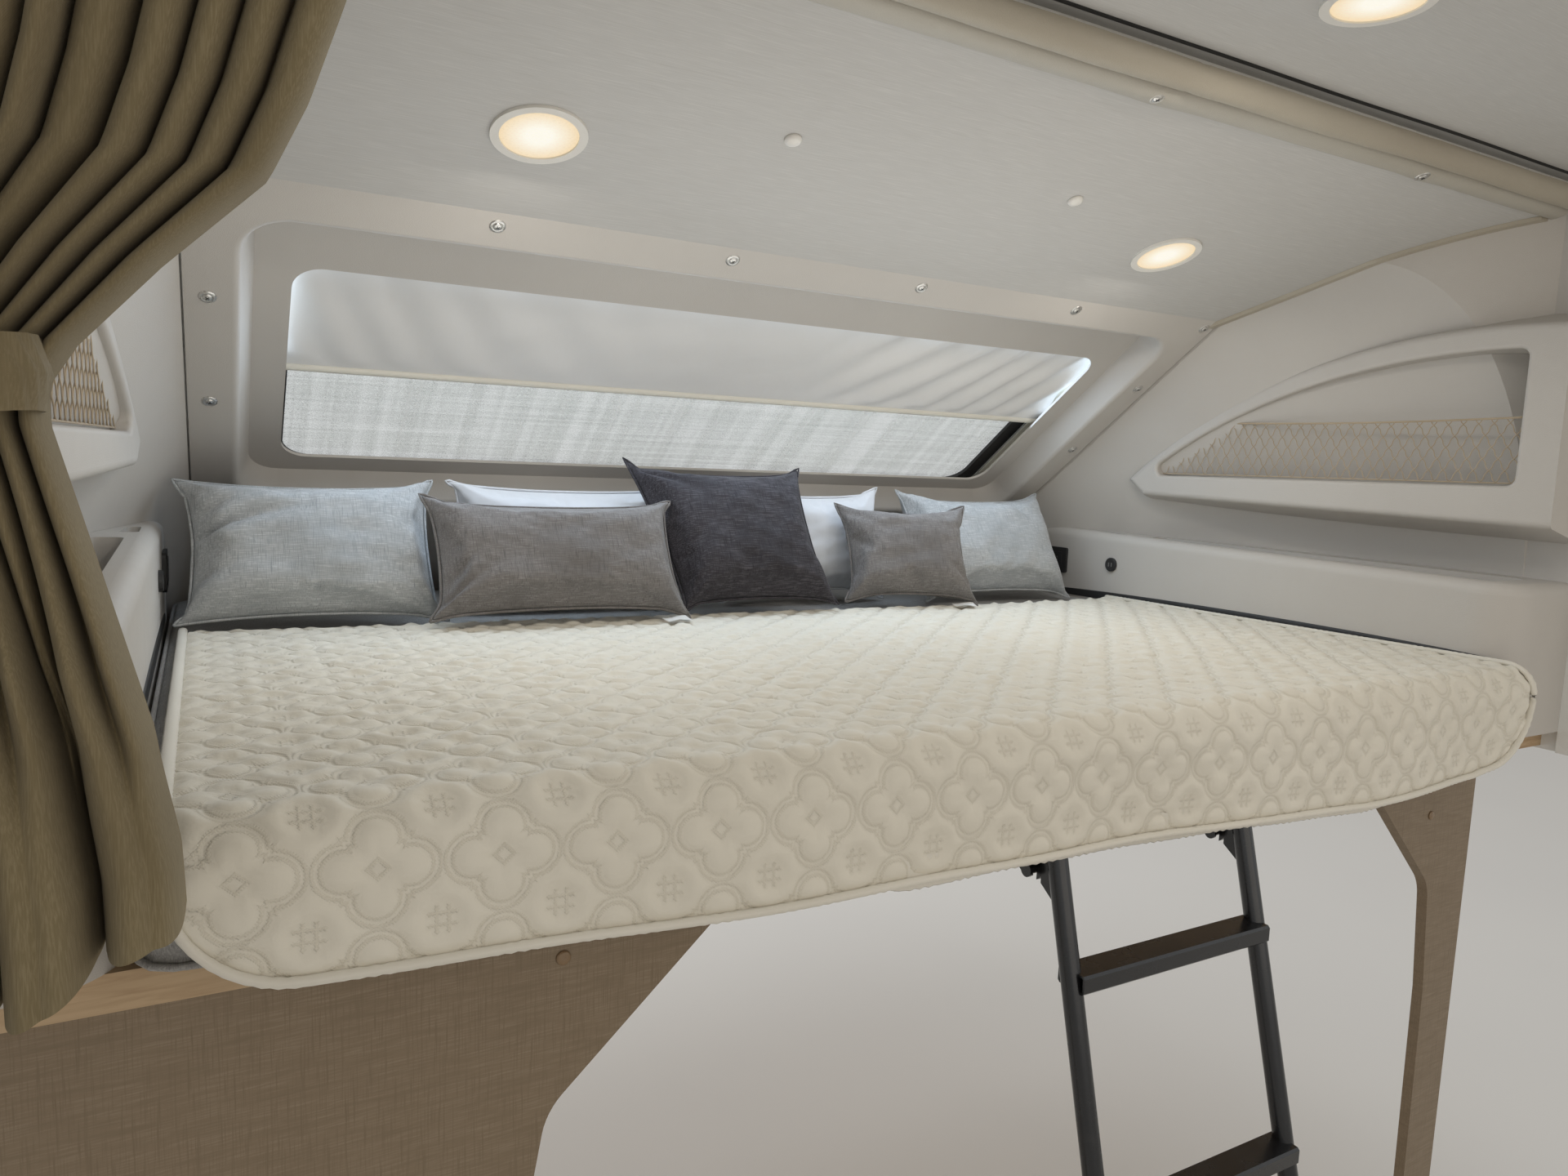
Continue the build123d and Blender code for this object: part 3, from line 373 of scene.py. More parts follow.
FINISHES = {
    "shell": shell_finish(),
    "board": board_finish(),
    "lining": plastic("haircell_lining", (0.52, 0.495, 0.465), (0.57, 0.545, 0.51)),
    "ceiling": ceiling_finish(),
    "padded_trim": plastic("padded_vinyl", (0.46, 0.42, 0.345), (0.38, 0.335, 0.265), 0.5, 500, 0.0005),
    "light_rim": plastic("white_rim", (0.80, 0.78, 0.73), (0.76, 0.74, 0.70), 0.35, 1200, 0.0001),
    "glass": glass_finish(),
    "seal": plastic("black_seal", (0.014, 0.014, 0.015), (0.03, 0.03, 0.03), 0.5),
    "shade_metal": plastic("ivory_bar", (0.76, 0.74, 0.67), (0.70, 0.68, 0.61), 0.35, 1500, 0.0001),
    "black_plastic": plastic("black_plastic", (0.015, 0.015, 0.016), (0.035, 0.035, 0.035), 0.4),
    "laminate": laminate_finish(),
    "black_steel": steel_finish(),
    "rubber": plastic("rubber", (0.02, 0.02, 0.02), (0.04, 0.04, 0.04), 0.75),
    "track_metal": metal("track_aluminium", (0.62, 0.61, 0.58), 0.35),
    "mattress_cloth": linen("mattress_cloth", (0.33, 0.325, 0.315), (0.46, 0.45, 0.44), (0.23, 0.225, 0.22), 1100),
    "quilt_cloth": quilt_finish(),
    "white_cotton": cotton("white_cotton", (0.74, 0.76, 0.80), (0.68, 0.70, 0.74)),
    "pale_linen": linen("pale_linen", (0.44, 0.46, 0.475), (0.62, 0.64, 0.65), (0.31, 0.335, 0.355), 850),
    "grey_linen": linen("grey_linen", (0.185, 0.172, 0.165), (0.27, 0.255, 0.25), (0.115, 0.107, 0.105), 900),
    "dark_linen": linen("dark_linen", (0.036, 0.032, 0.038), (0.095, 0.088, 0.10), (0.016, 0.014, 0.018), 800,
                        sheen=0.03),
    "curtain_cloth": curtain_finish(),
    "cord": cotton("net_cord", (0.50, 0.41, 0.30), (0.40, 0.32, 0.22)),
    "shade_cloth": cotton("shade_cloth", (0.78, 0.78, 0.78), (0.74, 0.74, 0.74), 0.6),
    "light_lens": lens_finish(),
    "screw_steel": metal("screw_steel", (0.66, 0.65, 0.63), 0.25),
    # Black used as painted shade, in the screws' cross slots and in the gap behind the ceiling trim.
    "dark_slot": plastic("dark_slot", (0.02, 0.02, 0.02), (0.03, 0.03, 0.03), 0.6),
    "brown_plug": plastic("brown_plug", (0.22, 0.14, 0.07), (0.28, 0.19, 0.11), 0.4),
    "trim_flange": plastic("trim_flange", (0.50, 0.475, 0.42), (0.44, 0.41, 0.35), 0.5, 500, 0.0004),
    "port_grey": plastic("port_grey", (0.14, 0.14, 0.14), (0.18, 0.18, 0.18), 0.5, 2000, 0.0001),
    "label_cloth": cotton("label_cloth", (0.78, 0.77, 0.74), (0.72, 0.71, 0.68)),
    "hem_cotton": cotton("hem_cotton", (0.75, 0.72, 0.645), (0.70, 0.67, 0.59)),
}

SLOTS = {part["node"]: part["material_slot"] for part in frame["record"]["subparts"]}
# The ceiling's edge strips look like its trim.
LOOKS = {**SLOTS, "ceiling_strips": "padded_trim"}
for name, obj in nodes.items():
    obj.data.materials.clear()
    obj.data.materials.append(FINISHES[LOOKS[name]].material)


def piece(name, points, faces, finish, body="bunk", slot=None, replaces=None, smooth=True, matrix=None, uv=None):
    """A mesh piece that rides on a CAD body. uv gives flat coordinates for each point."""
    mesh = bpy.data.meshes.new(name)
    mesh.from_pydata([tuple(map(float, p)) for p in points], [], [tuple(map(int, f)) for f in faces])
    mesh.update()
    mesh.shade_smooth() if smooth else mesh.shade_flat()
    if uv is not None:
        layer = mesh.uv_layers.new(name="flat")
        loops = np.zeros(len(mesh.loops), np.int32)
        mesh.loops.foreach_get("vertex_index", loops)
        layer.data.foreach_set("uv", np.asarray(uv, np.float32)[loops].ravel())
    mesh.materials.append(FINISHES[finish].material)
    obj = bpy.data.objects.new(name, mesh)
    scene.collection.objects.link(obj)
    if matrix is not None:
        obj.matrix_world = matrix
    if body:
        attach(obj, body)
    slot or finish in SLOTS.values()
    if replaces:
        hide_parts(replaces)
    return obj


def grid_faces(rows, columns, closed=False):
    r, c = np.meshgrid(np.arange(rows - 1), np.arange(columns if closed else columns - 1), indexing="ij")
    n = (c + 1) % columns
    quads = np.stack([r * columns + c, r * columns + n, (r + 1) * columns + n, (r + 1) * columns + c], -1)
    return quads.reshape(-1, 4).tolist()


def ring_faces(rings, sides):
    """Faces between stacked closed rings, and one over each end."""
    last = (rings - 1) * sides
    return grid_faces(rings, sides, closed=True) + [list(range(sides))[::-1], list(range(last, last + sides))]


def tube(path, radius, sides=8, flat=1.0):
    """Points and faces of a round tube along a path, closed at both ends."""
    path = np.asarray(path, float)
    ahead = np.gradient(path, axis=0)
    ahead /= np.linalg.norm(ahead, axis=1)[:, None]
    reference = np.array((0.0, 0.0, 1.0)) if abs(ahead[:, 2]).mean() < 0.8 else np.array((0.0, 1.0, 0.0))
    side = np.cross(ahead, reference)
    side /= np.linalg.norm(side, axis=1)[:, None]
    up = np.cross(side, ahead)
    angle = np.linspace(0, 2 * pi, sides, endpoint=False)
    rings = (
        path[:, None]
        + radius * np.cos(angle)[:, None] * side[:, None]
        + radius * flat * np.sin(angle)[:, None] * up[:, None]
    )
    return rings.reshape(-1, 3), ring_faces(len(path), sides)


def lathe(profile, segments=24):
    """Points and faces turned about local z from (radius, height) pairs; ends on the axis are closed."""
    angle = np.linspace(0, 2 * pi, segments, endpoint=False)
    points = [(r * cos(t), r * sin(t), z) for r, z in profile for t in angle]
    return np.array(points), ring_faces(len(profile), segments)


def block(low, high):
    points = [(x, y, z) for x in (low[0], high[0]) for y in (low[1], high[1]) for z in (low[2], high[2])]
    return np.array(points), [(0, 1, 3, 2), (4, 6, 7, 5), (0, 4, 5, 1), (2, 3, 7, 6), (0, 2, 6, 4), (1, 5, 7, 3)]


def placed(part, at, normal, spin=0.0):
    """Moves a part built about local z so that z follows normal at a place."""
    rotation = Vector(normal).to_track_quat("Z", "Y").to_matrix() @ Matrix.Rotation(spin, 3, "Z")
    return part[0] @ np.array(rotation).T + np.array(at), part[1]


def joined(name, parts, finish, **more):
    """One piece from separate parts."""
    points, faces, start = [], [], 0
    for p, f in parts:
        points.append(np.asarray(p, float))
        faces += [[i + start for i in face] for face in f]
        start += len(p)
    return piece(name, np.concatenate(points), faces, finish, **more)


def strip(name, rows, finish, **more):
    """A piece from rows of points, each beside the one before it."""
    return piece(name, np.concatenate(rows), grid_faces(len(rows), len(rows[0])), finish, **more)


def table(rows, at, column=1):
    """Number in a table's column at a place between its rows."""
    rows = sorted(rows)
    return np.interp(at, [r[0] for r in rows], [r[column] for r in rows])


def distances(path):
    """How far along a path each of its points is."""
    return np.concatenate([[0], np.cumsum(np.linalg.norm(np.diff(path, axis=0), axis=1))])


def resampled(path, at):
    """Places at those distances along a path."""
    along = distances(path)
    return np.stack([np.interp(at, along, path[:, k]) for k in range(path.shape[1])], -1)


def ceiling_level(y):
    """Height of the ceiling's underside, which falls towards the window."""
    return BED_TOP + 0.800 - 0.31 * (y - BED_REAR - 0.080)


def smooth_step(x):
    x = np.clip(x, 0, 1)
    return x * x * (3 - 2 * x)


def bumps(u, v, scale, seed):
    """Smooth seeded noise in two directions, about -1 to 1."""
    rng = np.random.default_rng(seed)
    total = np.zeros_like(np.asarray(u + v, float))
    for octave, weight in ((1, 1.0), (2, 0.5), (4, 0.25)):
        for _ in range(5):
            angle, phase = rng.uniform(0, 2 * pi, 2)
            total += weight * np.sin(octave * scale * (u * cos(angle) + v * sin(angle)) + phase)
    return total / 4.5


QUILT_WIDTH, QUILT_LENGTH, QUILT_LEFT = 1.988, 1.090, -0.985
# Level of the front hem at places across the bed
HEM_TABLE = (
    (-0.985, -0.138), (-0.6, -0.152), (-0.1, -0.160), (0.3, -0.168), (0.55, -0.178), (0.85, -0.170), (1.003, -0.150),
)
FOLD_RADIUS, FOLD_Y, HEM_CORNER = 0.048, -0.004, 0.095


def quilt_surface(u, v):
    """Place on the laid quilt of a flat place: u across from its left edge, v back from its front edge."""
    x = QUILT_LEFT + u
    drop = -table(HEM_TABLE, x) - FOLD_RADIUS
    from_hem = QUILT_LENGTH - v
    arc = FOLD_RADIUS * pi / 2
    flat_run = from_hem - drop - arc
    on_top = flat_run > 0
    turn = np.clip((from_hem - drop) / FOLD_RADIUS, 0, pi / 2)
    y = np.where(on_top, FOLD_Y + flat_run, FOLD_Y - FOLD_RADIUS * np.cos(turn))
    z = np.where(on_top, 0.0, -FOLD_RADIUS + FOLD_RADIUS * np.sin(turn))
    z = np.where(from_hem < drop, -FOLD_RADIUS - (drop - from_hem), z)
    hang = smooth_step((FOLD_Y - y) / FOLD_RADIUS) * smooth_step(-z / 0.06)
    y = y + hang * (0.006 * np.sin(x * 7 + 1.1) + 0.003 * np.sin(x * 17)) * smooth_step((-z) / 0.12)
    normal_y = np.where(on_top, 0.0, -np.cos(turn))
    normal_z = np.where(on_top, 1.0, np.sin(turn))
    return x, y, z, normal_y, normal_z


def pattern_place(u, v):
    """Flat place measured from the middle of a quatrefoil on the drop."""
    return u - QUILT_WIDTH / 2, v - QUILT_LENGTH + 0.088


def quilt_height(u, v):
    """Puff of the quilting at a flat place."""
    outline, bridge, flower, a, b = stitch_lines(
        *pattern_place(u, v), np.minimum, np.maximum, np.abs,
        lambda x, half: (x + half) % (2 * half) - half,
        np.hypot,
    )
    middle = np.abs(outline + QUATREFOIL["double"] / 2)
    crease = np.abs(a - b) * 0.7 + 0.4 * np.maximum(np.maximum(a, b) - 0.020, 0)
    inside = outline < 0
    near = np.minimum(middle, np.where(inside, 0.004 + 0.8 * crease, bridge))
    near = np.minimum(near, flower)
    puff = 1 - np.exp(-((near / 0.0072) ** 1.6))
    ruck = bumps(u, v, 95, 4) * 0.25 + bumps(u * 0.6, v * 1.6, 160, 9) * 0.18
    slack = smooth_step((QUILT_LENGTH - 0.17 - v) / 0.2)
    patches = np.clip(0.5 + 0.7 * bumps(u, v, 11, 21), 0, 1)
    pucker = np.maximum(bumps(u * 0.4, v * 1.25, 230, 12), -0.3) * (0.35 + 0.65 * patches)
    soft = 0.0060 * puff * (1 + 0.5 * ruck) + 0.0012 * bumps(u, v * 2.2, 60, 2)
    return soft + 0.0026 * pucker * slack * (0.35 + 0.65 * puff)


def make_quilt():
    columns, rows = 408, 236
    u, s = np.meshgrid(np.linspace(0, QUILT_WIDTH, columns), np.linspace(0, 1, rows))
    side = np.minimum(u, QUILT_WIDTH - u)
    cut = HEM_CORNER - np.sqrt(np.maximum(HEM_CORNER**2 - np.maximum(HEM_CORNER - side, 0) ** 2, 0))
    end = QUILT_LENGTH - cut
    v = s * QUILT_LENGTH
    start = QUILT_LENGTH - 2.4 * HEM_CORNER
    v = np.where(v > start, start + (v - start) * (end - start) / (QUILT_LENGTH - start), v)
    x, y, z, ny, nz = quilt_surface(u, v)
    edge = smooth_step(np.minimum(side, np.minimum(v, end - v)) / 0.012)
    lift = quilt_height(u, v) * edge - 0.0035
    y = y + ny * lift
    z = z + nz * lift
    sag = smooth_step((0.05 - y) / 0.25) * 0.004 * bumps(x, y, 9, 6)
    z = z + np.where(nz > 0.99, np.minimum(sag, 0.002), 0)
    quilt = strip("quilt_top", np.stack([x, y + BED_REAR, z + BED_TOP], -1), "quilt_cloth", replaces="quilt",
                  uv=np.stack(pattern_place(u, v), -1).reshape(-1, 2))
    # The bound hem runs round the two sides and the drop.
    cloth = np.stack([u, v], -1)
    ring = np.concatenate([cloth[:, 0], cloth[-1, 1:], cloth[::-1, -1][1:]])
    x, y, z, ny, nz = quilt_surface(ring[:, 0], ring[:, 1])
    path = np.stack([x, y + BED_REAR + 0.0008 * ny, z + BED_TOP + 0.0008 * nz], -1)
    path = path[np.append(True, np.linalg.norm(np.diff(path, axis=0), axis=1) > 1e-5)]
    length = distances(path)[-1]
    at = np.linspace(0, length, int(length / 0.006))
    path = resampled(path, at)
    points, faces = tube(path, 0.0066, 8, 0.66)
    swell = 1 + 0.12 * np.sin(at * 2 * pi / 0.011) * np.cos(at * 31)
    points = (points.reshape(len(path), -1, 3) - path[:, None]) * swell[:, None, None] + path[:, None]
    hem = piece("quilt_hem", points.reshape(-1, 3), faces, "hem_cotton", slot="quilt_cloth")
    # The backing hangs a little below the hem along the middle of the drop.
    x = np.linspace(-0.36, 0.76, 170)
    ends = smooth_step((x + 0.36) / 0.08) * smooth_step((0.76 - x) / 0.1)
    rows = []
    for up, behind in ((0.040, 0.006), (0.012, 0.007), (0.002, 0.008), (0.0, 0.0095), (0.003, 0.011), (0.02, 0.011)):
        y = FOLD_Y - FOLD_RADIUS + behind + 0.0015 * np.sin(x * 31) + 0.006 * np.sin(x * 7 + 1.1)
        z = table(HEM_TABLE, x) - 0.013 * ends + up + 0.001 * np.sin(x * 2 * pi / 0.012)
        rows.append(np.stack([x, y + BED_REAR, z + BED_TOP], -1))
    backing = strip("quilt_backing", rows, "hem_cotton", slot="quilt_cloth")


def make_mattress():
    low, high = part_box("mattress")
    half = np.array((high - low).xy) / 2
    centre = np.array((high + low).xy) / 2
    corners = []
    for corner, radius, first in (
        ((1, 1), 0.120, 0), ((-1, 1), 0.120, 90), ((-1, -1), 0.035, 180), ((1, -1), 0.035, 270),
    ):
        t = np.radians(np.linspace(first, first + 90, 13))
        corners.append(np.array(corner) * (half - radius) + radius * np.stack([np.cos(t), np.sin(t)], -1))
    outline = np.concatenate([*corners, corners[0][:1]])
    count = 360
    ring = resampled(outline, np.linspace(0, distances(outline)[-1], count, endpoint=False))
    inward = -ring / np.linalg.norm(ring, axis=1)[:, None]
    height = high.z - low.z
    # How far in from the outline and how high the side's rings are, then the share and height of the flat ones
    side = (
        (0.030, 0.001), (0.012, 0.001), (0.0045, 0.006), (0.006, 0.014), (0.002, 0.035), (0.0, 0.065),
        (0.002, height - 0.035), (0.006, height - 0.014), (0.0045, height - 0.006), (0.012, height - 0.001),
        (0.030, height - 0.0005),
    )
    rings = [(ring * share, 0.0) for share in (0.10, 0.5, 0.9)]
    rings += [(ring + inward * inset, up) for inset, up in side]
    rings += [(ring * share, height) for share in (0.9, 0.75, 0.5, 0.25, 0.03)]
    points = []
    for flat, up in rings:
        dip = 0.0015 * np.abs(bumps(flat[:, 0], flat[:, 1], 14, 3)) * (up > height / 2)
        points.append(np.column_stack([flat + centre, low.z + up - dip]))
    pad = piece("mattress_pad", np.concatenate(points), ring_faces(len(rings), count), "mattress_cloth",
                replaces="mattress")
    parts = []
    for level in (0.008, height - 0.008):
        path = np.column_stack([ring * (1 - 0.001) + centre, np.full(count, low.z + level)])
        parts.append(tube(np.concatenate([path, path[:1]]), 0.0032, 6))
    joined("mattress_piping", parts, "mattress_cloth")


# name, x, y, lean, turn, width, height, thickness, finish, seed, widening and shift of the top, creases
# A crease runs between two places of the front, each from -1 to 1 across and up, and has a depth.
PILLOWS = (
    ("pillow_light_left", -0.787, 0.918, 30, 0, 0.430, 0.300, 0.120, "pale_linen", 3, (0, 0),
     ((-0.98, 0.10, -0.10, 0.42, 0.016), (-0.98, 0.34, -0.45, 0.62, 0.007), (-0.9, -0.5, -0.4, -0.2, 0.004))),
    ("pillow_light_right", 0.705, 0.955, 30, 0, 0.470, 0.300, 0.120, "pale_linen", 4, (0, 0),
     ((0.35, 0.98, 0.62, 0.1, 0.006), (-0.6, 0.9, -0.25, 0.4, 0.005))),
    ("pillow_dark", 0.010, 0.850, 33, 0, 0.400, 0.350, 0.110, "dark_linen", 5, (0.085, -0.035),
     ((-0.95, 0.9, -0.4, 0.45, 0.006), (0.95, 0.9, 0.45, 0.5, 0.006))),
    ("pillow_small_left", -0.395, 0.815, 30, 0, 0.490, 0.260, 0.090, "grey_linen", 6, (0, 0),
     ((-0.98, -0.75, -0.55, -0.25, 0.007), (-0.85, -0.95, -0.55, -0.6, 0.006), (-0.98, -0.45, -0.7, -0.05, 0.005))),
    ("pillow_small_right", 0.382, 0.865, 28, -15, 0.320, 0.250, 0.090, "grey_linen", 7, (0, 0),
     ((-0.9, 0.8, -0.4, 0.3, 0.005), (0.9, -0.7, 0.5, -0.3, 0.005))),
    ("pillow_white_left", -0.300, 1.060, 10, 0, 0.520, 0.270, 0.120, "white_cotton", 8, (0, 0), ()),
    ("pillow_white_right", 0.225, 1.060, 10, 0, 0.440, 0.270, 0.120, "white_cotton", 9, (0, 0), ()),
)
QUILT_END = 0.905


def pillow_matrix(x, y, lean, turn):
    """The lower edge stands on the quilt, or on the mattress beyond the quilt's end."""
    swing, tip = radians(turn), radians(lean)
    right = Vector((cos(swing), sin(swing), 0))
    out = Vector((sin(swing) * cos(tip), -cos(swing) * cos(tip), sin(tip)))
    up = out.cross(right)
    matrix = Matrix((right, up, out)).transposed().to_4x4()
    level = BED_TOP + 0.001 - (0.012 if y > QUILT_END else 0)
    return Matrix.Translation((x, BED_REAR + y, level)) @ matrix


def crease_depth(s, t, crease):
    """Sharp fold along a segment with a soft lip on each side, in metres."""
    s0, t0, s1, t1, depth = crease
    run = np.hypot(s1 - s0, t1 - t0)
    along = np.clip(((s - s0) * (s1 - s0) + (t - t0) * (t1 - t0)) / run**2, 0, 1)
    away = np.hypot(s - s0 - along * (s1 - s0), t - t0 - along * (t1 - t0))
    fade = smooth_step(1.15 - along) ** 0.7
    return depth * fade * (0.45 * np.exp(-((away - 0.17) / 0.1) ** 2) - np.exp(-((away / 0.055) ** 2)))


def pillow_mesh(width, height, thickness, seed, splay, creases, step=0.008):
    """Front and back of a stuffed case, sewn at the edge; local x across, y up, z out."""
    columns, rows = int(width / step), int(height / step)
    s, t = np.meshgrid(np.linspace(-1, 1, columns), np.linspace(-1, 1, rows))
    pull_x = 1 - 0.060 * (1 - t**2) ** 0.8
    pull_y = 1 - 0.085 * (1 - s**2) ** 0.8
    x = s * width / 2 * pull_x
    y = t * height / 2 * pull_y + height / 2
    x = x * (1 + splay[0] * t) + splay[1] * y / height
    crown = (1 - np.abs(s) ** 2.7) ** 0.60 * (1 - np.abs(t) ** 2.7) ** 0.60
    ruck = 0.004 * bumps(s * 3, t * 3, 3.5, seed) * crown**0.5
    radial = np.arctan2(1 - np.abs(t), 1 - np.abs(s))
    corner = np.exp(-((1 - np.abs(s)) ** 2 + (1 - np.abs(t)) ** 2) / 0.12)
    ruck = ruck + 0.0045 * np.sin(radial * 14 + seed) * corner * crown**0.4
    # Short gathers run in from the seam.
    side_gather = np.sin(t * height * 150 + 2 * np.sin(t * 5 + seed)) * np.exp(-(1 - np.abs(s)) * width / 0.050)
    end_gather = np.sin(s * width * 150 + 2 * np.sin(s * 6 + seed)) * np.exp(-(1 - np.abs(t)) * height / 0.050)
    ruck = ruck + 0.0022 * (side_gather + end_gather) * crown**0.5
    for crease in creases:
        ruck = ruck + crease_depth(s, t, crease) * crown**0.35
    front = thickness / 2 * crown + ruck
    back = -thickness / 2 * crown + ruck * 0.4
    points = np.stack([x, y, front], -1).reshape(-1, 3)
    inner = np.stack([x, y, back], -1)[1:-1, 1:-1].reshape(-1, 3)
    faces = grid_faces(rows, columns)
    index = np.arange(rows * columns).reshape(rows, columns)
    under = index.copy()
    under[1:-1, 1:-1] = rows * columns + np.arange((rows - 2) * (columns - 2)).reshape(rows - 2, columns - 2)
    back_faces = np.stack([under[:-1, :-1], under[1:, :-1], under[1:, 1:], under[:-1, 1:]], -1).reshape(-1, 4)
    rim = np.concatenate([index[0, :], index[1:, -1], index[-1, -2::-1], index[-2:0:-1, 0]])
    return np.concatenate([points, inner]), faces + back_faces.tolist(), rim


def inflate(obj, travel):
    """Swells the stuffed case with Cloth pressure, keeps each point within travel and applies the result."""
    cloth = obj.modifiers.new("cloth", "CLOTH")
    settings = dict(quality=5, mass=0.25, tension_stiffness=22, compression_stiffness=18, shear_stiffness=8,
                    bending_stiffness=0.6, use_pressure=True, uniform_pressure_force=4.0)
    for key, value in settings.items():
        setattr(cloth.settings, key, value)
    cloth.settings.effector_weights.gravity = 0
    cloth.collision_settings.use_collision = False
    cloth.collision_settings.use_self_collision = False
    rest = point_array(obj.data)
    for number in range(1, 21):
        scene.frame_set(number)
    shift = point_array(obj.evaluated_get(bpy.context.evaluated_depsgraph_get()).data) - rest
    obj.modifiers.remove(cloth)
    scene.frame_set(1)
    shift *= np.minimum(1, travel / np.maximum(np.linalg.norm(shift, axis=1), 1e-9))[:, None]
    obj.data.vertices.foreach_set("co", (rest + shift).ravel())
    obj.data.update()


def make_pillow(name, x, y, lean, turn, width, height, thickness, finish, seed, splay, creases):
    # The case is sewn thinner than its solid, because the pressure swells it.
    sewn = thickness * 0.78
    points, faces, rim = pillow_mesh(width, height, sewn, seed, splay, creases)
    matrix = pillow_matrix(x, y, lean, turn)
    case = piece(name + "_case", points, faces, finish, matrix=matrix, replaces=name)
    inflate(case, 0.02)
    rounding = case.modifiers.new("rounding", "SUBSURF")
    rounding.levels = rounding.render_levels = 1
    seam = tube(point_array(case.data)[np.append(rim, rim[0])], 0.0024, 6)
    piece(name + "_seam", *seam, finish, matrix=matrix)


# Level of the curtain's cloth and how far its inner edge reaches
CURTAIN_INNER = (
    (0.835, -0.790), (0.72, -0.822), (0.596, -0.856), (0.526, -0.880), (0.471, -0.906), (0.407, -0.970),
    (0.350, -1.020), (0.323, -1.036), (0.297, -1.036), (0.203, -1.012), (0.09, -0.984), (-0.029, -0.970),
    (-0.085, -0.968),
)
# Level of the cloth, where its valleys lie and how far its folds may stand out of them
CURTAIN_DEPTH = (
    (0.835, -0.112, 0.110), (0.56, -0.108, 0.115), (0.345, -0.098, 0.090),
    (0.300, -0.098, 0.090), (0.1, -0.092, 0.115), (-0.09, -0.086, 0.135),
)
CURTAIN_OUTER, CURTAIN_WIDTH = -1.204, 1.32
PLEATS, LOW_FOLDS = 13, 4
WAIST_LEVEL = 0.30


def rounded_folds(t, count, seed):
    """Height from 0 to 1 of rounded folds of uneven width with narrow valleys, and each place's turn."""
    rng = np.random.default_rng(seed)
    edges = np.concatenate([[0], np.cumsum(rng.uniform(0.7, 1.3, count))])
    turn = pi * np.interp(t, edges / edges[-1], np.arange(count + 1))
    size = np.interp(t, np.linspace(0, 1, count + 1), rng.uniform(0.7, 1.0, count + 1))
    least = 0.012
    fold = ((np.sin(turn) ** 2 + least) ** 0.36 - least**0.36) / ((1 + least) ** 0.36 - least**0.36)
    return fold * size, turn


def curtain_row(level):
    """Plan of the pleated cloth at one level, with the cloth's own width kept."""
    inner = table(CURTAIN_INNER, level)
    valley, most = table(CURTAIN_DEPTH, level), table(CURTAIN_DEPTH, level, 2)
    t = np.linspace(0, 1, PLEATS * 24 + 1)
    low_part = smooth_step((WAIST_LEVEL - 0.02 - level) / 0.26)
    pleats, turn = rounded_folds(t, PLEATS, 11)
    folds, wide_turn = rounded_folds(t, LOW_FOLDS, 5)
    shape = (1 - low_part) * pleats + low_part * (0.92 * folds + 0.08 * pleats)
    shift = (1 - low_part) * np.sin(2 * turn) / PLEATS + 0.9 * low_part * np.sin(2 * wide_turn) / LOW_FOLDS
    x = CURTAIN_OUTER + (inner - CURTAIN_OUTER) * (t - 0.13 * shift)
    least = 0.0
    for _ in range(24):
        depth = (least + most) / 2
        y = valley - depth * shape
        if np.hypot(np.diff(x), np.diff(y)).sum() < CURTAIN_WIDTH:
            least = depth
        else:
            most = depth
    return x, y


def make_curtain():
    levels = np.concatenate([
        np.linspace(0.826, 0.36, 52), np.linspace(0.35, 0.29, 12), np.linspace(0.28, -0.086, 42),
    ])
    drop = levels[0] - levels
    rows, flat = [], []
    for level, fallen in zip(levels, drop):
        x, y = curtain_row(level)
        wander = 0.004 * np.sin(level * 13 + np.linspace(0, 9, len(x)))
        rows.append(np.stack([x, y + wander + BED_REAR, np.full(len(x), level + BED_TOP)], -1))
        flat.append(np.stack([np.linspace(0, CURTAIN_WIDTH, len(x)), np.full(len(x), fallen)], -1))
    rows = np.array(rows)
    hem_x, hem_y = rows[-1, :, 0], rows[-1, :, 1]
    hem_rise = 0.040 * smooth_step((hem_x + 1.08) / 0.1) + 0.05 * (hem_y.max() - hem_y)
    rows[:, :, 2] += hem_rise[None] * smooth_step((0.1 - (rows[:, :, 2] - BED_TOP)) / 0.18)
    drape = strip("curtain_drape", rows, "curtain_cloth", replaces="curtain", uv=np.concatenate(flat))
    float(drop[-1] - hem_rise.mean())


def make_tieback():
    low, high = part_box("curtain_tieback")
    centre = np.array((high + low).xy) / 2
    half = np.array((high - low).xy) / 2 - 0.001
    around = np.linspace(0, 2 * pi, 97)
    shape = np.stack([np.cos(around), np.sin(around)], -1)
    shape = np.sign(shape) * np.abs(shape) ** 0.55
    rows = []
    for k, level in enumerate(np.linspace(low.z, high.z, 11)):
        swell = 1 - 0.05 * abs(k - 5) / 5 + 0.01 * np.sin(around * 23 + k)
        rows.append(np.column_stack([centre + shape * half * swell[:, None], level + 0.010 * shape[:, 0] - 0.005]))
    band = strip("tieback_band", rows, "curtain_cloth", replaces="curtain_tieback",
                 uv=np.stack(np.meshgrid(np.linspace(0, 0.55, 97), np.linspace(0, 0.045, 11)), -1).reshape(-1, 2))


# A metre up the window's raked plane rises by the first and comes in by the second.
RAKE_UP, RAKE_IN = 0.5846, 0.8113
RAKE_OUT = Vector((0, RAKE_UP, RAKE_IN))


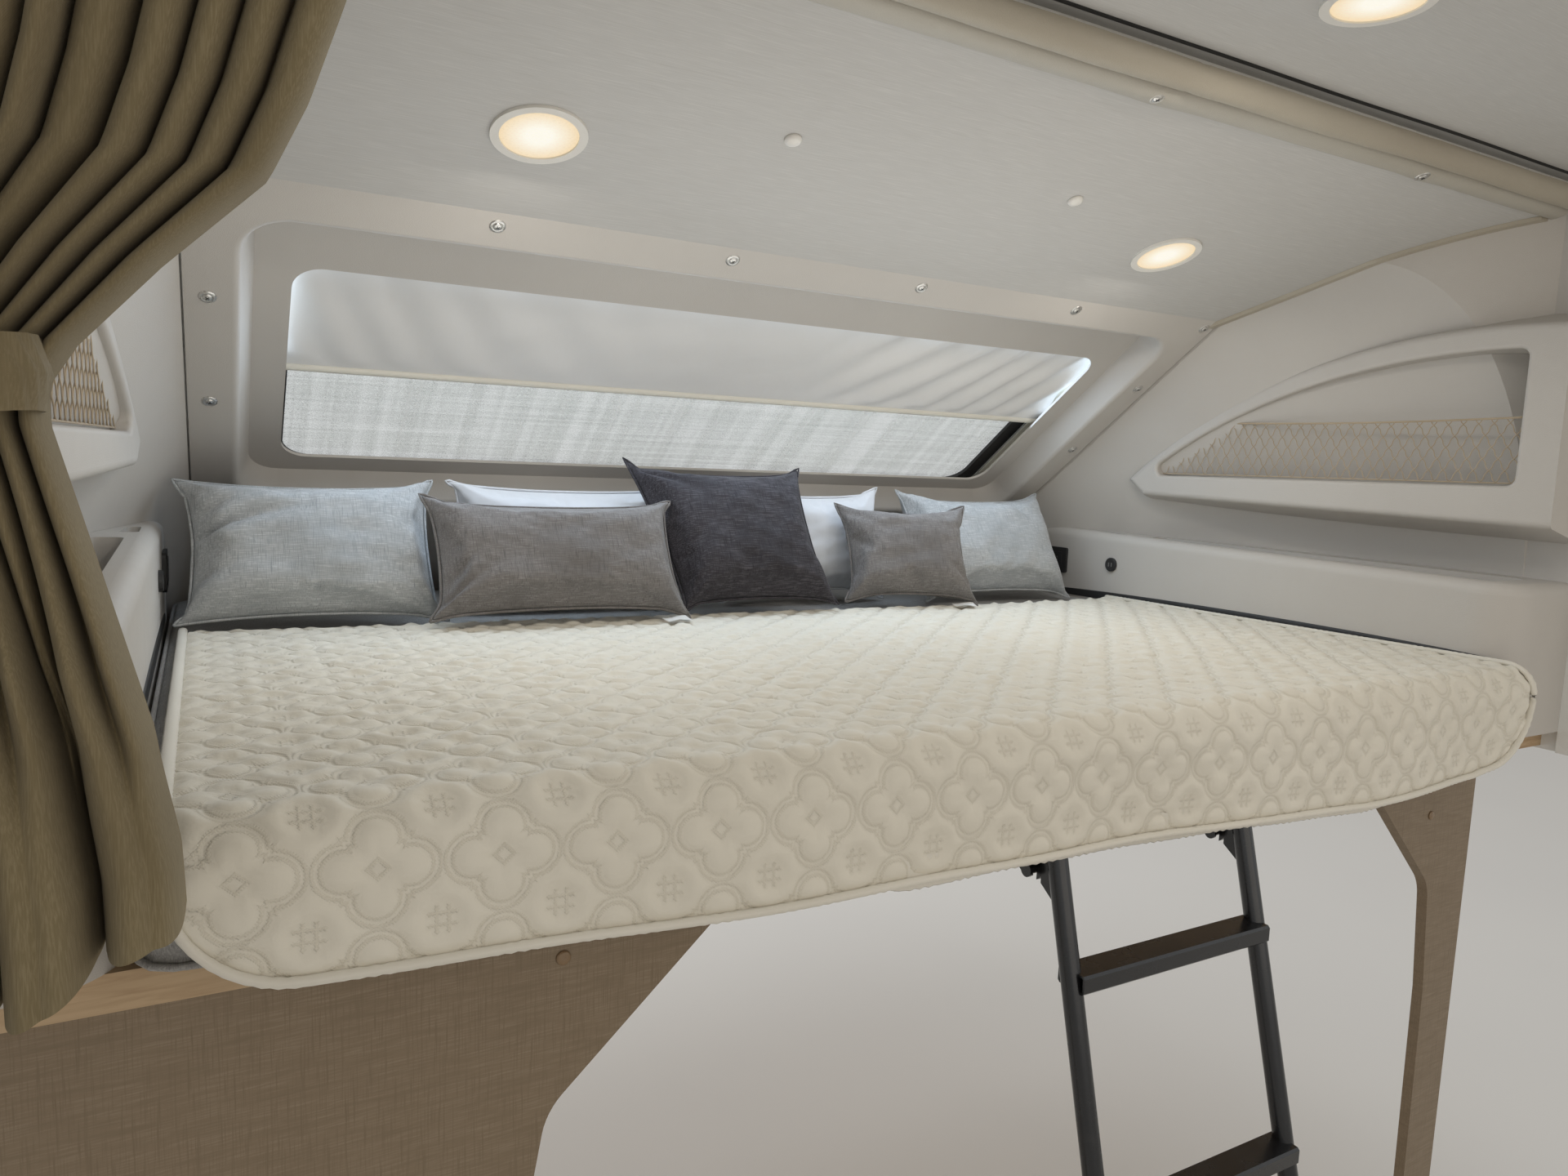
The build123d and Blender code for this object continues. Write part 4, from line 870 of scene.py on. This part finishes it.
def make_shade():
    low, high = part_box("shade_fabric")
    width = high.x - low.x
    start, end = Vector((0, low.y, high.z)), Vector((0, high.y, low.z))
    length = (start - end).length
    columns, rows = 240, 44
    s, t = np.meshgrid(np.linspace(-0.5, 0.5, columns), np.linspace(0, 1, rows))
    x = s * width
    down = t * length
    # Faint broad folds fall to the right on the left third and a fan falls to the left on the right third,
    # with short creases along the top.
    left = smooth_step((-0.15 - x) / 0.25)
    right = smooth_step((x - 0.12) / 0.2)
    broad = 0.0024 * np.sin((x - 0.55 * down) * 58 + 2.6 * np.sin(x * 8)) * left
    fan = 0.0066 * np.sin((x + 0.75 * down) * 60 + 1.8 * np.sin(x * 9)) * right
    fine = 0.0022 * np.sin((x + 0.9 * down) * 120 + 2 * np.sin(x * 9)) * smooth_step((0.16 - down) / 0.12)
    upright = 0.0012 * np.sin(x * 210 + 2 * np.sin(x * 13)) * smooth_step((0.10 - down) / 0.08) * right
    slack = 0.0018 * bumps(x, down * 1.5, 22, 14)
    fade = smooth_step(t / 0.12) * smooth_step((1 - t) / 0.08)
    seam = 0.0012 * np.exp(-(((1 - t) * length - 0.012) / 0.004) ** 2)
    depth = (broad + fan + fine + upright + slack) * fade - seam
    points = [
        (x[r, c], *(start.lerp(end, t[r, c]) + RAKE_OUT * depth[r, c]).yz)
        for r in range(rows) for c in range(columns)
    ]
    cloth = piece("shade_cloth", points, grid_faces(rows, columns), "shade_cloth", body=None,
                  replaces="shade_fabric", uv=np.stack([x, down], -1).reshape(-1, 2))
    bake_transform(cloth)


POCKET_TURN = -0.0837


def pocket_point(p, q, depth, side):
    """Row-frame place in the right or left pocket's face: p forward, q up, depth outward."""
    size = hypot(POCKET_TURN, 1)
    x = 1.100 + (POCKET_TURN * p + depth) / size
    y = BED_REAR + 0.050 + (p - POCKET_TURN * depth) / size
    return np.column_stack([side * x, y, BED_TOP + q])


def arch_reach(q):
    """How far forward the pocket's mouth reaches at a height."""
    (x1, y1), (x2, y2), (x3, y3) = (0.014, 0.548), (0.430, 0.490), (0.800, 0.304)
    a = np.array([[x2 - x1, y2 - y1], [x3 - x1, y3 - y1]])
    b = 0.5 * np.array([x2**2 - x1**2 + y2**2 - y1**2, x3**2 - x1**2 + y3**2 - y1**2])
    cx, cy = np.linalg.solve(a, b)
    radius = hypot(x1 - cx, y1 - cy)
    return cx + np.sqrt(np.maximum(radius**2 - (q - cy) ** 2, 0))


def make_nets():
    low, high, pitch, rise = 0.309, 0.428, 0.026, 0.022
    face = 0.0215

    def sag(p):
        return -0.006 * np.sin(np.clip(p / 0.7, 0, 1) * pi)

    for side, name in SIDES:
        parts = []
        for lean in (-1, 1):
            for k in range(-8, 40):
                q = np.linspace(low, high, 25)
                knots = (q - low) / rise
                p = k * pitch + lean * (knots * pitch / 2 + 0.0016 * np.sin(knots * 2 * pi))
                inside = (p > 0.018) & (p < arch_reach(q) - 0.012)
                if inside.sum() < 4:
                    continue
                p, q = p[inside], q[inside]
                depth = face + 0.0008 * lean + 0.004 * np.sin(p * 9) * (q - low) / 0.12
                path = pocket_point(p, q + sag(p) * (q - low) / (high - low), depth, side)
                parts.append(tube(path, 0.0011, 5))
        p = np.linspace(0.018, float(arch_reach(high)) - 0.014, 60)
        parts.append(tube(pocket_point(p, high + sag(p), face + 0.004 * np.sin(p * 9), side), 0.0022, 6))
        p = np.linspace(0.018, 0.775, 60)
        parts.append(tube(pocket_point(p, low + 0 * p, face, side), 0.0016, 6))
        joined(f"net_cords_{name}", parts, "cord", replaces=f"net_{name}")


def cup_screw(at, normal, spin):
    """Head with its cup washer, and the cross slot."""
    washer = ((0.0, 0.0), (0.0120, 0.0), (0.0117, 0.0009), (0.0084, 0.0024), (0.0070, 0.0016), (0.0, 0.0016))
    head = ((0.0, 0.0012), (0.0068, 0.0012), (0.0066, 0.0022), (0.0048, 0.0033), (0.0020, 0.0038), (0.0, 0.0038))
    bar = block((-0.0030, -0.0006, 0.0034), (0.0030, 0.0006, 0.0041))
    heads = [placed(lathe(profile, 28), at, normal, spin) for profile in (washer, head)]
    return heads, [placed(bar, at, normal, spin + quarter) for quarter in (0, pi / 2)]


def make_screws(name, places, spin, flat_slots):
    heads, slots = [], []
    for k, (at, normal) in enumerate(places):
        head, slot = cup_screw(at, normal, spin * k)
        heads += head
        slots += slot
    joined(name + "s", heads, "screw_steel")
    # The cross slots are black bars: painted shade for the slot recesses.
    joined(name + "_slots", slots, "dark_slot", smooth=not flat_slots)


def make_lining_screws():
    rows = [(x, 1.061) for x in (-0.945, -0.57, -0.19, 0.19, 0.57, 0.945)]
    rows += [(x, z / RAKE_UP) for x in (-0.94, 0.94) for z in (0.50, 0.36)]
    places = [(x, BED_REAR + 1.494 - RAKE_IN * up, BED_TOP + RAKE_UP * up) for x, up in rows]
    make_screws("lining_screw", [(at, -RAKE_OUT) for at in places], 0.4, True)


def make_ceiling_caps():
    slope = Vector((0, -0.31, -1)).normalized()
    dome = lathe(((0.0, 0.0), (0.012, 0.0), (0.0118, 0.003), (0.0105, 0.0055), (0.0075, 0.0068), (0.0, 0.0072)))
    y = BED_REAR + 0.328
    joined("ceiling_caps", [placed(dome, (x, y, ceiling_level(y)), slope) for x in (-0.255, 0.255)], "light_rim")


def make_ceiling_trim():
    """Vinyl-covered rigid roll over the ceiling's joint, a thin wavy flange before it and, behind it, a black strip
    of painted shade for the gap.
    """
    x = np.linspace(-1.205, 1.205, 330)
    wave = 0.6 * np.sin(x * 5.2 + 0.5) + 0.4 * np.sin(x * 11.7 + 2.0)
    seam = np.exp(-((x - 0.19) / 0.0035) ** 2)
    rows = []
    for angle in np.radians(np.linspace(25, -212, 17)):
        radius = 0.0200 + 0.0009 * wave + 0.0005 * bumps(x, angle, 40, 31) - 0.0022 * seam
        y = -0.7625 + 0.0020 * wave + radius * cos(angle)
        rows.append(np.stack([x, y, 0.9970 + radius * sin(angle)], -1))
    strip("ceiling_trim_roll", rows, "padded_trim", replaces="ceiling_trim")
    screws_x = (0.16, 0.77)
    lift = 0.0022 * sum(np.exp(-((x - at) / 0.05) ** 2) for at in screws_x)
    rows = []
    for y, drop in (
        (-0.748, 0.0), (-0.746, 0.0036), (-0.733, 0.0040), (-0.7200, 0.0032), (-0.7172, 0.0020), (-0.7168, -0.001),
    ):
        edge = y + 0.0010 * wave * (y > -0.74)
        sag = (0.0012 + 0.0012 * np.sin(x * 6.5 + 1) + lift) * (drop > 0.003)
        rows.append(np.stack([x, edge, ceiling_level(edge) - drop - sag], -1))
    strip("ceiling_trim_flange", rows, "trim_flange", slot="padded_trim")
    # A black strip in the gap behind the roll: painted shade.
    gap = ((-0.780, 1.0216), (-0.7865, 1.0212), (-0.7885, 1.0217))
    strip("ceiling_trim_gap_shade", [np.stack([x, y + 0.0022 * wave, np.full(len(x), z)], -1) for y, z in gap], "dark_slot")
    screw_z = ceiling_level(-0.731) - 0.0062
    make_screws("trim_screw", [((at, -0.731, screw_z), (0, -0.296, -0.955)) for at in screws_x], 0.7, False)


def make_foot_gap_shades():
    """Black strip of painted shade in the gap along each ledge's foot, widest in the middle."""
    y = np.linspace(-0.795, 0.290, 160)
    rise = 0.002 + 0.012 * np.sin(np.clip((y + 0.795) / 1.085, 0, 1) * pi) ** 0.6
    for side, name in SIDES:
        rows = []
        for inward, share in ((0.0, 1.0), (0.0011, 0.93), (0.0013, 0.5), (0.0013, None)):
            level = np.full(len(y), -0.010) if share is None else rise * share
            rows.append(np.stack([np.full(len(y), side * (1.0149 - inward)), y, BED_TOP + level], -1))
        # Painted shade: the strip takes the black seal finish to stand for the shadow in the gap.
        strip(f"ledge_foot_gap_shade_{name}", rows, "seal")


def make_outlets():
    """Raised insert and pin holes of the outlet plates, and the ring and two ports of the sockets."""
    plate, socket = [
        Vector((low.x, *((low + high) / 2).yz))
        for low, high in (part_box("outlet_right"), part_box("socket_right"))
    ]
    ring = lathe(((0.0160, 0.0), (0.0160, 0.0012), (0.0145, 0.0018), (0.0128, 0.0012), (0.0, 0.0010)), 36)

    def raised(at, side, proud, deep, across, up, half_y, half_z):
        """A block that stands proud of the wall at a place and reaches deep into it."""
        y, z = at.y + across, at.z + up
        return block((side * (at.x - proud), y - half_y, z - half_z), (side * (at.x + deep), y + half_y, z + half_z))

    for side, name in SIDES:
        insert = [raised(plate, side, 0.0015, 0.001, 0, 0, 0.034, 0.021),
                  placed(ring, (side * socket.x, socket.y, socket.z), (-side, 0, 0))]
        joined(f"outlet_insert_{name}", insert, "black_plastic", smooth=False)
        marks = [
            raised(plate, side, 0.0019, 0, across, up, wide, 0.0016)
            for across in (-0.017, 0.017) for up, wide in ((0.007, 0.0016), (-0.007, 0.0016), (0.0, 0.0022))
        ]
        marks += [raised(socket, side, 0.0016, 0, across, 0, 0.0016, 0.005) for across in (-0.0045, 0.0045)]
        joined(f"outlet_marks_{name}", marks, "port_grey", smooth=False)


def make_labels():
    """Blank care label sewn into the lower seam of each small pillow, lying on the quilt."""
    width, length = 0.048, 0.026
    s, t = np.meshgrid(np.linspace(-width / 2, width / 2, 9), np.linspace(0, length, 9))
    lift = 0.010 - 0.12 * t + 0.002 * np.sin(s * 90 + t * 60)
    for name, x, y, turn in (("left", -0.205, 0.803, 0.12), ("right", 0.490, 0.836, -0.3)):
        across = cos(turn) * s + sin(turn) * t
        away = sin(turn) * s - cos(turn) * t
        rows = np.stack([x + across, BED_REAR + y + away, BED_TOP + lift], -1)
        strip(f"care_label_{name}", rows, "label_cloth")


def make_plugs():
    dome = lathe(((0.0, 0.0), (0.0078, 0.0), (0.0074, 0.0016), (0.005, 0.0026), (0.0, 0.003)))
    rear = BED_REAR + 0.040 - 0.0001
    places = [(x, rear, BED_TOP + z) for x, z in ((-0.644, -0.212), (0.907, -0.272))]
    joined("bulkhead_plugs", [placed(dome, at, (0, -1, 0)) for at in places], "brown_plug")


make_mattress()
make_quilt()
for row in PILLOWS:
    make_pillow(*row)
make_curtain()
make_tieback()
make_shade()
make_nets()
make_lining_screws()
make_ceiling_caps()
make_ceiling_trim()
make_foot_gap_shades()
make_outlets()
make_labels()
make_plugs()

floor = FINISHES["floor"] = Finish("studio_floor", (0.80, 0.79, 0.77), 0.8)
floor.tint(floor.noise(0.8), (0.77, 0.76, 0.745), 0.3, 0.8)
corners = [(x, y, FLOOR_LEVEL - 0.001) for x, y in ((-14, -14), (14, -14), (14, 14), (-14, 14))]
piece("studio_floor", corners, [(0, 1, 2, 3)], "floor", body=None, smooth=False)

# The world lights the object warmly and looks paler to the camera, in glass and in metal.
world = bpy.data.worlds.new("studio")
scene.world = world
world.use_nodes = True
tree = world.node_tree
shades = []
for shade, colour, strength in (
    (tree.nodes["Background"], (1.0, 0.965, 0.91, 1), 0.46),
    (tree.nodes.new("ShaderNodeBackground"), (0.93, 0.95, 0.96, 1), 0.9),
):
    shade.inputs["Color"].default_value = colour
    shade.inputs["Strength"].default_value = strength
    shades.append(shade.outputs[0])
paths = tree.nodes.new("ShaderNodeLightPath")
seen, *others = [Value(paths.outputs[f"Is {kind} Ray"]) for kind in ("Camera", "Transmission", "Glossy")]
for ray in others:
    seen = seen.most(ray)
either = tree.nodes.new("ShaderNodeMixShader")
for k, source in enumerate((seen.socket, *shades)):
    link(source, either.inputs[k])
link(either.outputs[0], tree.nodes["World Output"].inputs["Surface"])


def lamp(name, at, to, size, power, colour):
    data = bpy.data.lights.new(name, "AREA")
    data.shape = "RECTANGLE"
    data.size, data.size_y = size
    data.energy = power
    data.color = colour
    obj = bpy.data.objects.new(name, data)
    scene.collection.objects.link(obj)
    obj.location = at
    obj.rotation_euler = (Vector(to) - Vector(at)).to_track_quat("-Z", "Y").to_euler()
    obj.visible_camera = False


# Place, aim, size, power and colour of each soft lamp
lamp("coach_light", (0.2, -3.0, 0.6), (0.1, 0.3, 0.5), (2.8, 1.6), 9, (1.0, 0.87, 0.70))
lamp("window_light", (0.6, 3.2, 3.0), (0.0, 0.2, 0.4), (3.0, 2.0), 45, (0.92, 0.96, 1.0))
lamp("top_light", (-1.5, -0.5, 4.5), (0, 0, 0.3), (4.0, 4.0), 55, (1.0, 1.0, 1.0))
lamp("daylight", (0.0, 0.03, 0.74), (0.0, -0.50, 0.10), (1.9, 0.46), 8.6, (0.66, 0.82, 1.0))
for k, (x, y) in enumerate(lens_centres()):
    level = 1.000 if k == 0 else ceiling_level(y) - 0.032
    lamp(f"downlight_{k}", (x, y, level), (x, y + 0.02, 0), (0.085, 0.085), 1.1, (1.0, 0.94, 0.85))
lamp("room_fill", (-0.1, -0.50, 0.34), (-0.1, -0.45, 1.0), (1.5, 0.55), 1.9, (0.98, 0.98, 1.0))
